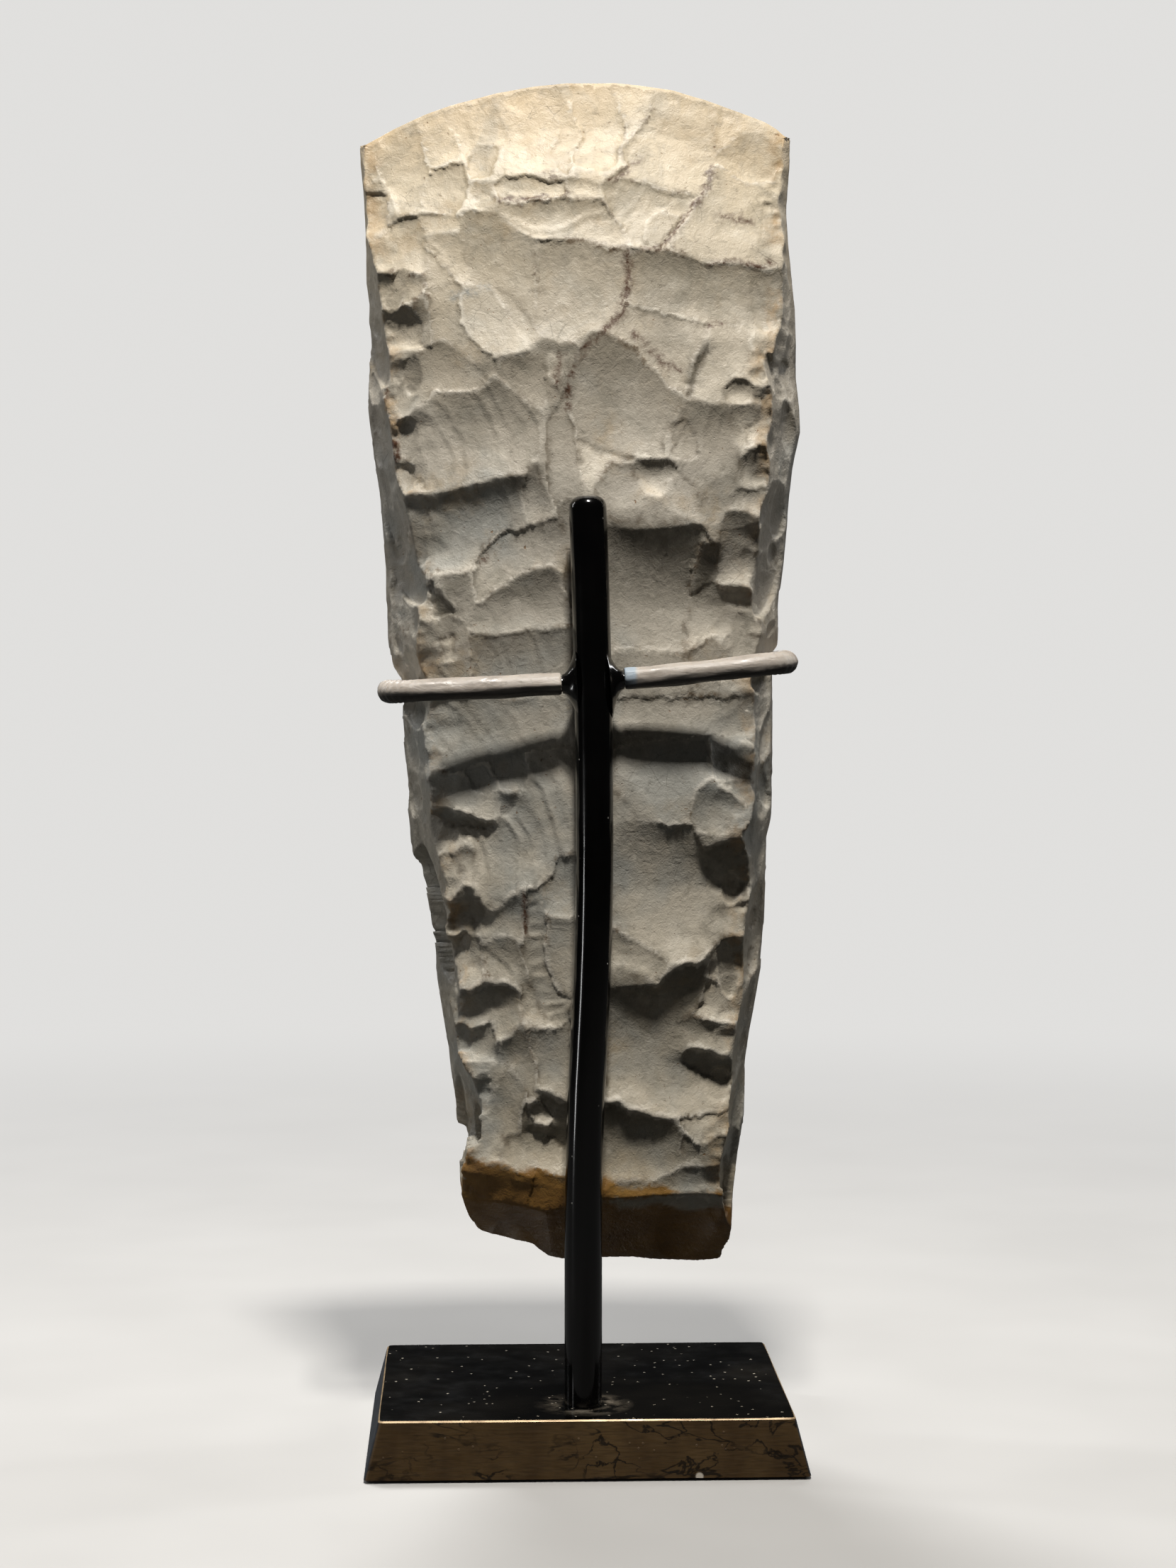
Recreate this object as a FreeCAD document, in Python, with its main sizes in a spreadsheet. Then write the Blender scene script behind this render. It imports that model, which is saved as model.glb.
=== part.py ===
import FreeCAD, Part
import math
import os
import Sketcher

# A thick-butted flint axe held upright in a small display mount
# Lengths are millimetres, +Z is up, and -Y is the side that the post stands on
# The origin is the middle of the felt's underside, where the mount rests
Vector = FreeCAD.Vector
doc = FreeCAD.newDocument("flint_axe_in_mount")

# Driving dimensions, one cell each
sheet = doc.addObject("Spreadsheet::Sheet", "sizes")
SIZES = [
    # plinth: a metal block whose four sides lean inwards
    ("plinth_width", 89.2),
    ("plinth_depth", 74.6),
    ("plinth_height", 11.15),
    ("plinth_lean", 2.86),
    ("plinth_corner", 1.2),
    ("plinth_arris", 0.3),
    ("felt_thickness", 0.6),
    ("felt_inset", 2.5),
    # post: round bar let into the plinth, with a slight bow to the right
    ("post_diameter", 7.64),
    ("post_height", 184.6),
    ("post_seat_depth", 4.0),
    ("post_foot_offset", 0.4),
    ("post_bow", 2.3),
    ("post_straight", 34.0),
    ("post_bow_start_rise", 40.0),
    ("post_bow_end_rise", 1.5),
    ("post_end_rounding", 2.4),
    ("post_fit", 0.05),
    # screw that holds the post from below
    ("screw_diameter", 4.0),
    ("screw_length", 12.0),
    ("screw_head_diameter", 7.0),
    ("screw_head_height", 2.6),
    ("screw_socket", 2.5),
    ("screw_socket_depth", 1.4),
    ("screw_end_room", 1.5),
    ("washer_diameter", 8.6),
    ("washer_thickness", 0.8),
    ("counterbore_diameter", 9.4),
    ("counterbore_depth", 4.2),
    ("screw_clearance", 0.3),
    # arms: bent rods in tubing
    ("rod_diameter", 3.2),
    ("sleeve_diameter", 4.7),
    ("sleeve_fit", 0.1),
    ("sleeve_start", 6.4),
    ("rod_tip", 0.5),
    ("rod_root_gap", 0.25),
    ("bend_radius", 4.6),
    ("hook_length", 13.0),
    ("arm_angle_left", 2.5),
    ("arm_angle_right", 5.9),
    ("arm_splay_left", 1.4),
    ("arm_splay_right", 4.0),
    # braze fillets where the arms meet the post
    ("braze_reach", 6.2),
    ("braze_spread", 7.5),
    ("braze_depth", 3.5),
    ("braze_lip", 0.35),
    ("braze_root", 3.3),
    # flint axe
    ("axe_length", 248.2),
    ("axe_width", 90.4),
    ("axe_thickness", 34.8),
    ("axe_foot_height", 22.6),
    ("axe_lean", 1.2),
    ("grip_level_share", 0.501),
    ("grip_left_share", 0.8297),
    ("grip_right_share", 0.8894),
    ("edge_radius", 82.0),
    ("edge_slope", 2.45),
    ("edge_land", 0.5),
    # running room between the flint and the mount
    ("clearance", 0.3),
]
for row, (alias, value) in enumerate(SIZES, start=1):
    sheet.set(f"A{row}", alias)
    sheet.set(f"B{row}", str(value))
    sheet.setAlias(f"B{row}", alias)
doc.recompute()
size = {alias: float(sheet.get(alias)) for alias, _ in SIZES}

# Levels and places that several pieces share
plinth_top = size["felt_thickness"] + size["plinth_height"]
half_thickness = size["axe_thickness"] / 2
post_y = -(half_thickness + size["clearance"] + size["post_diameter"] / 2)
arm_level = plinth_top + size["axe_foot_height"] + size["grip_level_share"] * size["axe_length"]
sleeve_radius = size["sleeve_diameter"] / 2
parts_made = []


def finished(thing, label, placement=None):
    """Name a finished sub-part and put it in its place."""
    thing.Label = label
    if placement is not None:
        thing.Placement = placement
    parts_made.append(thing)
    return thing


def new_body(label, placement=None):
    """Start a PartDesign body for one sub-part."""
    return finished(doc.addObject("PartDesign::Body", label + "_body"), label, placement)


def sketch_on(body, name, role, offset=None):
    """Attach a sketch to one of the body's own origin planes."""
    plane = [item for item in body.Origin.OriginFeatures if item.Role == role][0]
    sketch = body.newObject("Sketcher::SketchObject", name)
    sketch.AttachmentSupport = [(plane, "")]
    sketch.MapMode = "FlatFace"
    if offset is not None:
        sketch.setExpression("AttachmentOffset.Base.z", offset)
    return sketch


def bind(sketch, constraint, expression):
    """Add a named dimension to a sketch and tie it to the sheet."""
    name = "dim" + str(sketch.ConstraintCount)
    index = sketch.addConstraint(constraint)
    sketch.renameConstraint(index, name)
    sketch.setExpression("Constraints." + name, expression)


def circle(sketch, diameter_expression, start_radius):
    """Draw a circle about the sketch origin, its diameter from the sheet."""
    edge = sketch.addGeometry(Part.Circle(Vector(0, 0, 0), Vector(0, 0, 1), start_radius), False)
    sketch.addConstraint(Sketcher.Constraint("Coincident", edge, 3, -1, 1))
    bind(sketch, Sketcher.Constraint("Diameter", edge, 2 * start_radius), diameter_expression)


def rectangle(sketch, wide_expression, deep_expression, wide, deep):
    """Draw a rectangle centred on the sketch origin, its sides from the sheet."""
    corners = [Vector(x * wide / 2, y * deep / 2, 0) for x, y in ((-1, -1), (1, -1), (1, 1), (-1, 1))]
    lines = []
    for index in range(4):
        line = Part.LineSegment(corners[index], corners[(index + 1) % 4])
        lines.append(sketch.addGeometry(line, False))
    for index in range(4):
        sketch.addConstraint(Sketcher.Constraint("Coincident", lines[index], 2, lines[(index + 1) % 4], 1))
    for index in (0, 2):
        sketch.addConstraint(Sketcher.Constraint("Horizontal", lines[index]))
    for index in (1, 3):
        sketch.addConstraint(Sketcher.Constraint("Vertical", lines[index]))
    sketch.addConstraint(Sketcher.Constraint("Symmetric", lines[0], 1, lines[2], 1, -1, 1))
    bind(sketch, Sketcher.Constraint("DistanceX", lines[0], 1, lines[0], 2, wide), wide_expression)
    bind(sketch, Sketcher.Constraint("DistanceY", lines[1], 1, lines[1], 2, deep), deep_expression)


# Plinth: bottom outline padded up with leaning sides, then eased, bored and counterbored
rim_level_share = 0.9


def make_plinth():
    level = Vector(0, 0, size["felt_thickness"])
    body = new_body("plinth", FreeCAD.Placement(level, FreeCAD.Rotation()))
    outline = sketch_on(body, "plinth_outline", "XY_Plane")
    rectangle(outline, "sizes.plinth_width", "sizes.plinth_depth",
              size["plinth_width"], size["plinth_depth"])
    block = body.newObject("PartDesign::Pad", "plinth_block")
    block.Profile = outline
    block.setExpression("Length", "sizes.plinth_height")
    block.setExpression("TaperAngle", "-atan(sizes.plinth_lean / sizes.plinth_height)")
    doc.recompute()
    upright = []
    upper = []
    for number, edge in enumerate(block.Shape.Edges, start=1):
        heights = [vertex.Point.z for vertex in edge.Vertexes]
        if min(heights) > size["plinth_height"] / 2:
            upper.append(f"Edge{number}")
        elif max(heights) > size["plinth_height"] / 2:
            upright.append(f"Edge{number}")
    corners = body.newObject("PartDesign::Fillet", "plinth_corners")
    corners.Base = (block, upright)
    corners.setExpression("Radius", "sizes.plinth_corner")
    doc.recompute()
    rim = []
    for number, edge in enumerate(corners.Shape.Edges, start=1):
        if min(vertex.Point.z for vertex in edge.Vertexes) > size["plinth_height"] * rim_level_share:
            rim.append(f"Edge{number}")
    arris = body.newObject("PartDesign::Chamfer", "plinth_arris_bevel")
    arris.Base = (corners, rim)
    arris.setExpression("Size", "sizes.plinth_arris")
    doc.recompute()
    return body


def bore(body, name, diameter, start_radius, depth, from_top, length_type="Length"):
    """Bore a round hole on the post's axis, down from the top or up from below."""
    offset = "sizes.plinth_height" if from_top else "0"
    sketch = sketch_on(body, name + "_circle", "XY_Plane", offset)
    foot = size["post_foot_offset"]
    edge = sketch.addGeometry(Part.Circle(Vector(-foot, post_y, 0), Vector(0, 0, 1), start_radius), False)
    bind(sketch, Sketcher.Constraint("Diameter", edge, 2 * start_radius), diameter)
    bind(sketch, Sketcher.Constraint("DistanceX", edge, 3, -1, 1, foot), "sizes.post_foot_offset")
    bind(sketch, Sketcher.Constraint("DistanceY", edge, 3, -1, 1, -post_y), POST_Y_EXPRESSION)
    pocket = body.newObject("PartDesign::Pocket", name)
    pocket.Profile = sketch
    if length_type == "ThroughAll":
        pocket.Type = "ThroughAll"
        pocket.Midplane = True
    else:
        pocket.setExpression("Length", depth)
        pocket.Reversed = not from_top
    before = body.Shape.Volume
    doc.recompute()
    if body.Shape.Volume >= before:
        raise RuntimeError(name + " removed nothing")
    return pocket


POST_Y_EXPRESSION = "sizes.axe_thickness / 2 + sizes.clearance + sizes.post_diameter / 2"
plinth = make_plinth()
bore(plinth, "post_seat", "sizes.post_diameter + 2 * sizes.post_fit", size["post_diameter"] / 2,
     "sizes.post_seat_depth", True)
bore(plinth, "screw_hole", "sizes.screw_diameter + 2 * sizes.screw_clearance",
     size["screw_diameter"] / 2, "", False, "ThroughAll")
bore(plinth, "screw_counterbore", "sizes.counterbore_diameter", size["counterbore_diameter"] / 2,
     "sizes.counterbore_depth", False)


# Felt: a thin sheet under the plinth with a hole that leaves the screw in reach
def make_felt():
    body = new_body("base_felt")
    outline = sketch_on(body, "felt_outline", "XY_Plane")
    rectangle(outline, "sizes.plinth_width - 2 * sizes.felt_inset",
              "sizes.plinth_depth - 2 * sizes.felt_inset",
              size["plinth_width"] - 2 * size["felt_inset"],
              size["plinth_depth"] - 2 * size["felt_inset"])
    foot = size["post_foot_offset"]
    hole = outline.addGeometry(
        Part.Circle(Vector(-foot, post_y, 0), Vector(0, 0, 1), size["counterbore_diameter"] / 2), False)
    bind(outline, Sketcher.Constraint("Diameter", hole, size["counterbore_diameter"]),
         "sizes.counterbore_diameter")
    bind(outline, Sketcher.Constraint("DistanceX", hole, 3, -1, 1, foot), "sizes.post_foot_offset")
    bind(outline, Sketcher.Constraint("DistanceY", hole, 3, -1, 1, -post_y), POST_Y_EXPRESSION)
    pad = body.newObject("PartDesign::Pad", "felt_sheet")
    pad.Profile = outline
    pad.setExpression("Length", "sizes.felt_thickness")
    doc.recompute()


make_felt()


# Post: round bar along straight runs and long arcs, with a rounded top end
def post_path():
    """The bar's centre line, from its seat to its top, in the XZ plane at the post."""
    foot_x = -size["post_foot_offset"]
    bow_half = size["post_bow"] / 2
    rise = size["post_bow_start_rise"]
    bottom = plinth_top - size["post_seat_depth"]
    bend_1 = plinth_top + size["post_straight"]
    middle = bend_1 + rise
    crest = middle + rise
    top = plinth_top + size["post_height"]
    points = [
        Vector(foot_x, post_y, bottom),
        Vector(foot_x, post_y, bend_1),
        Vector(foot_x + bow_half, post_y, middle),
        Vector(foot_x + size["post_bow"], post_y, crest),
        Vector(foot_x + size["post_bow"] - size["post_bow_end_rise"], post_y, top),
    ]
    return points


def tangent_arc(start, direction, end):
    """An arc from start, leaving along direction, that ends at end."""
    chord = end - start
    side = chord - direction * chord.dot(direction)
    radius = chord.Length ** 2 / (2 * side.Length)
    toward = side / side.Length
    centre = start + toward * radius
    half = (start + end) / 2 - centre
    middle = centre + half * (radius / half.Length)
    leave = (end - centre).cross(toward.cross(direction))
    leave = leave / leave.Length
    if leave.dot(chord) < 0:
        leave = -leave
    return Part.Arc(start, middle, end).toShape(), leave


def make_post():
    points = post_path()
    heading = Vector(0, 0, 1)
    edges = [Part.LineSegment(points[0], points[1]).toShape()]
    for start, end in zip(points[1:-1], points[2:]):
        edge, heading = tangent_arc(start, heading, end)
        edges.append(edge)
    path = Part.Wire(edges)
    radius = size["post_diameter"] / 2
    ring = Part.Wire(Part.makeCircle(radius, points[0], Vector(0, 0, 1)))
    bar = path.makePipeShell([ring], True, False)
    print("post volume", round(bar.Volume), "section times length",
          round(math.pi * radius ** 2 * path.Length))
    top_level = points[-1].z
    end_edges = []
    for edge in bar.Edges:
        box = edge.BoundBox
        if box.ZMin > top_level - radius and box.ZMax - box.ZMin < radius:
            end_edges.append(edge)
    bar = bar.makeFillet(size["post_end_rounding"], end_edges)
    tapped = Part.makeCylinder(size["screw_diameter"] / 2 + size["post_fit"],
                               screw_reach(), points[0], Vector(0, 0, 1))
    bar = bar.cut(tapped)
    post = doc.addObject("Part::Feature", "post_bar")
    post.Shape = bar
    return finished(post, "post")


def screw_reach():
    """How far the screw's shank and its end room reach into the post."""
    grip = size["plinth_height"] - size["counterbore_depth"] - size["post_seat_depth"]
    return size["screw_length"] - size["washer_thickness"] - grip + size["screw_end_room"]


post = make_post()


# Screw and washer, seated in the plinth's counterbore
def make_screw():
    head_top = size["felt_thickness"] + size["counterbore_depth"] - size["washer_thickness"]
    place = Vector(-size["post_foot_offset"], post_y, head_top)
    body = new_body("post_screw", FreeCAD.Placement(place, FreeCAD.Rotation()))
    head = sketch_on(body, "screw_head_circle", "XY_Plane")
    circle(head, "sizes.screw_head_diameter", size["screw_head_diameter"] / 2)
    head_pad = body.newObject("PartDesign::Pad", "screw_head")
    head_pad.Profile = head
    head_pad.setExpression("Length", "sizes.screw_head_height")
    head_pad.Reversed = True
    shank = sketch_on(body, "screw_shank_circle", "XY_Plane")
    circle(shank, "sizes.screw_diameter", size["screw_diameter"] / 2)
    shank_pad = body.newObject("PartDesign::Pad", "screw_shank")
    shank_pad.Profile = shank
    shank_pad.setExpression("Length", "sizes.screw_length")
    doc.recompute()
    socket = sketch_on(body, "screw_socket_hexagon", "XY_Plane", "-sizes.screw_head_height")
    across = size["screw_socket"] / math.sqrt(3)
    angles = [turn * math.pi / 3 for turn in range(6)]
    corners = [Vector(across * math.cos(angle), across * math.sin(angle), 0) for angle in angles]
    sides = [socket.addGeometry(Part.LineSegment(corners[turn], corners[(turn + 1) % 6]), False)
             for turn in range(6)]
    guide = socket.addGeometry(Part.Circle(Vector(0, 0, 0), Vector(0, 0, 1), across), True)
    socket.addConstraint(Sketcher.Constraint("Coincident", guide, 3, -1, 1))
    for turn in range(6):
        socket.addConstraint(Sketcher.Constraint("Coincident", sides[turn], 2, sides[(turn + 1) % 6], 1))
        socket.addConstraint(Sketcher.Constraint("PointOnObject", sides[turn], 1, guide))
    for turn in range(5):
        socket.addConstraint(Sketcher.Constraint("Equal", sides[turn], sides[turn + 1]))
    socket.addConstraint(Sketcher.Constraint("PointOnObject", sides[0], 1, -1))
    bind(socket, Sketcher.Constraint("Radius", guide, across), "sizes.screw_socket / sqrt(3)")
    pocket = body.newObject("PartDesign::Pocket", "screw_socket_pocket")
    pocket.Profile = socket
    pocket.setExpression("Length", "sizes.screw_socket_depth")
    pocket.Reversed = True
    before = body.Shape.Volume
    doc.recompute()
    if body.Shape.Volume >= before:
        raise RuntimeError("the screw's socket removed nothing")


def make_washer():
    level = size["felt_thickness"] + size["counterbore_depth"] - size["washer_thickness"]
    place = Vector(-size["post_foot_offset"], post_y, level)
    body = new_body("screw_washer", FreeCAD.Placement(place, FreeCAD.Rotation()))
    ring = sketch_on(body, "washer_ring", "XY_Plane")
    circle(ring, "sizes.washer_diameter", size["washer_diameter"] / 2)
    circle(ring, "sizes.screw_diameter + 2 * sizes.screw_clearance",
           size["screw_diameter"] / 2 + size["screw_clearance"])
    pad = body.newObject("PartDesign::Pad", "washer_disc")
    pad.Profile = ring
    pad.setExpression("Length", "sizes.washer_thickness")
    doc.recompute()


make_screw()
make_washer()


# Arms: a rod runs out from the post, bends back along the flint's side and hooks behind it
halvings = 40
HALF_TURN = 180


def post_x_at(level):
    """Where the bowed post's centre line is at a level, found by halving the arc it lies on."""
    points = post_path()
    heading = Vector(0, 0, 1)
    for start, end in zip(points[1:-1], points[2:]):
        edge, heading = tangent_arc(start, heading, end)
        if level <= end.z:
            low, high = edge.ParameterRange
            rising = edge.valueAt(high).z > edge.valueAt(low).z
            for _ in range(halvings):
                half = (low + high) / 2
                if (edge.valueAt(half).z < level) == rising:
                    low = half
                else:
                    high = half
            return edge.valueAt(low).x
    return points[-1].x


ARMS = {
    # side: sign outward, turn about Y that tilts the arm
    "left": (-1, HALF_TURN - size["arm_angle_left"]),
    "right": (1, -size["arm_angle_right"]),
}


def grip(side):
    """Half the flint's width where an arm holds it, left or right of the middle."""
    return size["grip_" + side + "_share"] * size["axe_width"] / 2


def arm_placement(side):
    turn = FreeCAD.Rotation(Vector(0, 1, 0), ARMS[side][1])
    return FreeCAD.Placement(Vector(post_x_at(arm_level), post_y, arm_level), turn)


def arm_reach(side):
    """Distance from the post's axis to the far end of the run beside the flint.

    Half-way along, where the flint is widest, that run clears it by the named clearance."""
    sign, turn = ARMS[side]
    across = grip(side) + size["clearance"] + sleeve_radius - sign * post_x_at(arm_level)
    return across / abs(math.cos(math.radians(turn))) + size["arm_splay_" + side] / 2


def bent_pipe(label, side, start_expression, start, tip_expression, tip, rings):
    """A pipe along the arm's bent centre line; rings are diameters with their expressions."""
    body = new_body(label, arm_placement(side))
    path = sketch_on(body, label + "_path", "XY_Plane")
    radius = size["bend_radius"]
    reach = arm_reach(side)
    splay_cell = "arm_splay_" + side
    near = reach - size[splay_cell]
    depth = size["axe_thickness"] / 2 + size["clearance"] + sleeve_radius - post_y
    hook = size["hook_length"] - tip
    turn_1 = Part.Circle(Vector(near - radius, radius, 0), Vector(0, 0, 1), radius)
    turn_2 = Part.Circle(Vector(reach - radius, depth - radius, 0), Vector(0, 0, 1), radius)
    quarter = math.pi / 2
    run_out = path.addGeometry(Part.LineSegment(Vector(start, 0, 0), Vector(near - radius, 0, 0)), False)
    bend_1 = path.addGeometry(Part.ArcOfCircle(turn_1, -quarter, 0), False)
    run_back = path.addGeometry(
        Part.LineSegment(Vector(near, radius, 0), Vector(reach, depth - radius, 0)), False)
    bend_2 = path.addGeometry(Part.ArcOfCircle(turn_2, 0, quarter), False)
    run_in = path.addGeometry(
        Part.LineSegment(Vector(reach - radius, depth, 0), Vector(reach - hook, depth, 0)), False)
    path.addConstraint(Sketcher.Constraint("PointOnObject", run_out, 1, -1))
    path.addConstraint(Sketcher.Constraint("Horizontal", run_out))
    path.addConstraint(Sketcher.Constraint("Tangent", run_out, 2, bend_1, 1))
    path.addConstraint(Sketcher.Constraint("Tangent", bend_1, 2, run_back, 1))
    path.addConstraint(Sketcher.Constraint("Tangent", run_back, 2, bend_2, 1))
    path.addConstraint(Sketcher.Constraint("Tangent", bend_2, 2, run_in, 1))
    path.addConstraint(Sketcher.Constraint("Horizontal", run_in))
    path.addConstraint(Sketcher.Constraint("Equal", bend_1, bend_2))
    bind(path, Sketcher.Constraint("Radius", bend_1, radius), "sizes.bend_radius")
    bind(path, Sketcher.Constraint("DistanceX", -1, 1, run_out, 1, start), start_expression)
    path.addConstraint(Sketcher.Constraint("DistanceX", -1, 1, run_back, 2, reach))
    bind(path, Sketcher.Constraint("DistanceX", run_back, 1, run_back, 2, size[splay_cell]),
         "sizes." + splay_cell)
    bind(path, Sketcher.Constraint("DistanceY", -1, 1, run_in, 1, depth),
         "sizes.axe_thickness / 2 + sizes.clearance + sizes.sleeve_diameter / 2 + " + POST_Y_EXPRESSION)
    bind(path, Sketcher.Constraint("DistanceX", run_in, 2, run_back, 2, hook),
         "sizes.hook_length - " + tip_expression)
    profile = sketch_on(body, label + "_section", "YZ_Plane", start_expression)
    for diameter, expression in rings:
        circle(profile, expression, diameter / 2)
    doc.recompute()
    pipe = body.newObject("PartDesign::AdditivePipe", label + "_pipe")
    pipe.Profile = profile
    pipe.Spine = (path, [])
    doc.recompute()
    return body


def make_arm(side):
    start = size["post_diameter"] / 2 + size["rod_root_gap"]
    return bent_pipe("arm_" + side, side, "sizes.post_diameter / 2 + sizes.rod_root_gap", start, "0", 0,
                     [(size["rod_diameter"], "sizes.rod_diameter")])


def make_sleeve(side):
    bore_size = size["rod_diameter"] + size["sleeve_fit"]
    return bent_pipe("sleeve_" + side, side, "sizes.sleeve_start", size["sleeve_start"],
                     "sizes.rod_tip", size["rod_tip"],
                     [(size["sleeve_diameter"], "sizes.sleeve_diameter"),
                      (bore_size, "sizes.rod_diameter + sizes.sleeve_fit")])


# Braze: metal run in round each rod's root, hollow-sided like a fillet
braze_steps = 5
ring_roundness_share = 0.999


def make_braze(side, arm):
    tip = size["rod_diameter"] / 2 + size["braze_lip"]
    wires = []
    for step in range(braze_steps + 1):
        share = step / braze_steps
        along = size["braze_root"] + (size["braze_reach"] - size["braze_root"]) * share
        hollow = (1 - share) ** 2
        tall = tip + (size["braze_spread"] - tip) * hollow
        deep = tip + (size["braze_depth"] - tip) * hollow
        ellipse = Part.Ellipse(Vector(0, 0, 0), tall, min(deep, tall * ring_roundness_share))
        ring = Part.Wire(ellipse.toShape())
        ring.Placement = FreeCAD.Placement(Vector(along, 0, 0), FreeCAD.Rotation(Vector(0, 1, 0), 90))
        wires.append(ring)
    fillet = Part.makeLoft(wires, True, False)
    fillet = fillet.transformed(arm_placement(side).toMatrix())
    fillet = fillet.cut(post.Shape).cut(arm.Shape)
    solids = sorted(fillet.Solids, key=lambda solid: solid.Volume)
    braze = doc.addObject("Part::Feature", "braze_" + side + "_metal")
    braze.Shape = solids[-1]
    return finished(braze, "braze_" + side)


for arm_side in ARMS:
    arm_body = make_arm(arm_side)
    make_sleeve(arm_side)
    make_braze(arm_side, arm_body)

# Flint axe: a tapering blank with narrow sides, brought to an edge above
# Every row is hand-chosen shares: level of the length, then left and right of half the width for
# the widest line, the front seams and the back seams, then front and back of half the thickness
AXE_SECTION_SHARES = [
    (0.000, -0.27, 0.64, -0.20, 0.52, -0.24, 0.58, -0.10, 0.42),
    (0.030, -0.39, 0.66, -0.32, 0.56, -0.35, 0.60, 0.15, 0.82),
    (0.055, -0.49, 0.68, -0.42, 0.59, -0.435, 0.61, 0.51, 0.84),
    (0.078, -0.54, 0.70, -0.47, 0.61, -0.48, 0.63, 0.88, 0.85),
    (0.186, -0.60, 0.77, -0.55, 0.69, -0.54, 0.68, 0.90, 0.88),
    (0.364, -0.76, 0.86, -0.665, 0.73, -0.67, 0.75, 0.99, 0.97),
    (0.448, -0.805, None, -0.71, 0.765, -0.72, 0.77, 0.99, 0.99),
    (0.497, None, None, -0.73, 0.77, -0.74, 0.78, 0.99, 0.99),
    (0.530, -0.865, None, -0.745, 0.785, -0.76, 0.80, 0.99, 0.99),
    (0.590, -0.885, 0.92, -0.78, 0.80, -0.79, 0.83, 0.99, 0.98),
    (0.718, -0.954, 0.995, -0.86, 0.85, -0.87, 0.87, 0.95, 0.93),
    (0.870, -0.978, 0.955, -0.95, 0.90, -0.94, 0.90, 0.74, 0.72),
    (1.012, -1.00, 0.949, -0.99, 0.935, -0.99, 0.935, 0.62, 0.60),
]
seam_share = 0.78
crown_share = 0.42
waist_share = 0.10
wedge_overrun_share = 1.3


def between(rows, column, level):
    """A column of the section table at any level, in straight lines between rows."""
    for low, high in zip(rows, rows[1:]):
        if level <= high[0]:
            mix = (level - low[0]) / (high[0] - low[0])
            return low[column] + (high[column] - low[column]) * mix
    return rows[-1][column]


def axe_sections():
    """The section table in millimetres, with the gripped width where a row leaves it open."""
    half = size["axe_width"] / 2
    rows = []
    for row in AXE_SECTION_SHARES:
        lengths = [None if share is None else share * half for share in row[1:7]]
        if lengths[0] is None:
            lengths[0] = -grip("left")
        if lengths[1] is None:
            lengths[1] = grip("right")
        rows.append((row[0], *lengths, row[7] * half_thickness, row[8] * half_thickness))
    return rows


axe_rows = axe_sections()
axe_foot = plinth_top + size["axe_foot_height"]
axe_top = axe_foot + size["axe_length"]


CORNERS = {"front_left": 0, "front_right": 3, "right": 4, "back_right": 5, "back_left": 8, "left": 9}


def section_points(level_share):
    """The ten corners of the axe's section, round from the front-left seam."""
    left, right, front_left, front_right, back_left, back_right, front, back = [
        between(axe_rows, column, level_share) for column in range(1, 9)]
    height = axe_foot + level_share * size["axe_length"]
    waist = waist_share * half_thickness
    plan = [
        (front_left, -front * seam_share), (front_left * crown_share, -front),
        (front_right * crown_share, -front), (front_right, -front * seam_share),
        (right, waist),
        (back_right, back * seam_share), (back_right * crown_share, back),
        (back_left * crown_share, back), (back_left, back * seam_share),
        (left, waist),
    ]
    return [Vector(x, y, height) for x, y in plan]


def axe_blank():
    wires = []
    for row in axe_rows:
        points = section_points(row[0])
        wires.append(Part.makePolygon(points + points[:1]))
    blank = Part.makeLoft(wires, True, True)
    radius = size["edge_radius"]
    deep = half_thickness * wedge_overrun_share
    land = size["edge_land"] / 2
    foot = radius - (deep - land) * size["edge_slope"]
    centre = Vector(0, 0, axe_top - radius)
    outline = [
        Vector(0, -deep, 0), Vector(foot, -deep, 0), Vector(radius, -land, 0),
        Vector(radius, land, 0), Vector(foot, deep, 0), Vector(0, deep, 0)]
    profile = Part.Face(Part.makePolygon(outline + outline[:1]))
    wedge = profile.revolve(Vector(0, 0, 0), Vector(0, 1, 0), 2 * HALF_TURN)
    wedge.translate(centre)
    wide = size["axe_width"] * 2
    cap = Part.makeBox(wide, deep * 2, radius * 2, Vector(-wide / 2, -deep, centre.z))
    return blank.cut(cap.cut(wedge))


def face_point(front, x, level_share):
    """A point on the blank's front or back face, and the way that the face looks."""
    def depth(across, level):
        points = section_points(level)
        line = points[0:4] if front else list(reversed(points[5:9]))
        low, high = [(a, b) for a, b in zip(line, line[1:]) if across <= b.x or b is line[-1]][0]
        mix = (across - low.x) / (high.x - low.x)
        flat = abs(low.y + (high.y - low.y) * mix)
        above = size["edge_radius"] - (1 - level) * size["axe_length"]
        reach = math.hypot(across, max(0, above))
        bevel = (size["edge_radius"] - reach) / size["edge_slope"] + size["edge_land"] / 2
        return min(flat, bevel) * (-1 if front else 1)
    step = slope_step_share
    half = size["axe_width"] / 2
    here = depth(x, level_share)
    gain_x = depth(x + step * half, level_share) - depth(x - step * half, level_share)
    gain_z = depth(x, level_share + step) - depth(x, level_share - step)
    slope_x = gain_x / (2 * step * half)
    slope_z = gain_z / (2 * step * size["axe_length"])
    sign = -1 if front else 1
    normal = Vector(-slope_x * sign, sign, -slope_z * sign)
    return Vector(x, here, axe_foot + level_share * size["axe_length"]), normal / normal.Length


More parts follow.
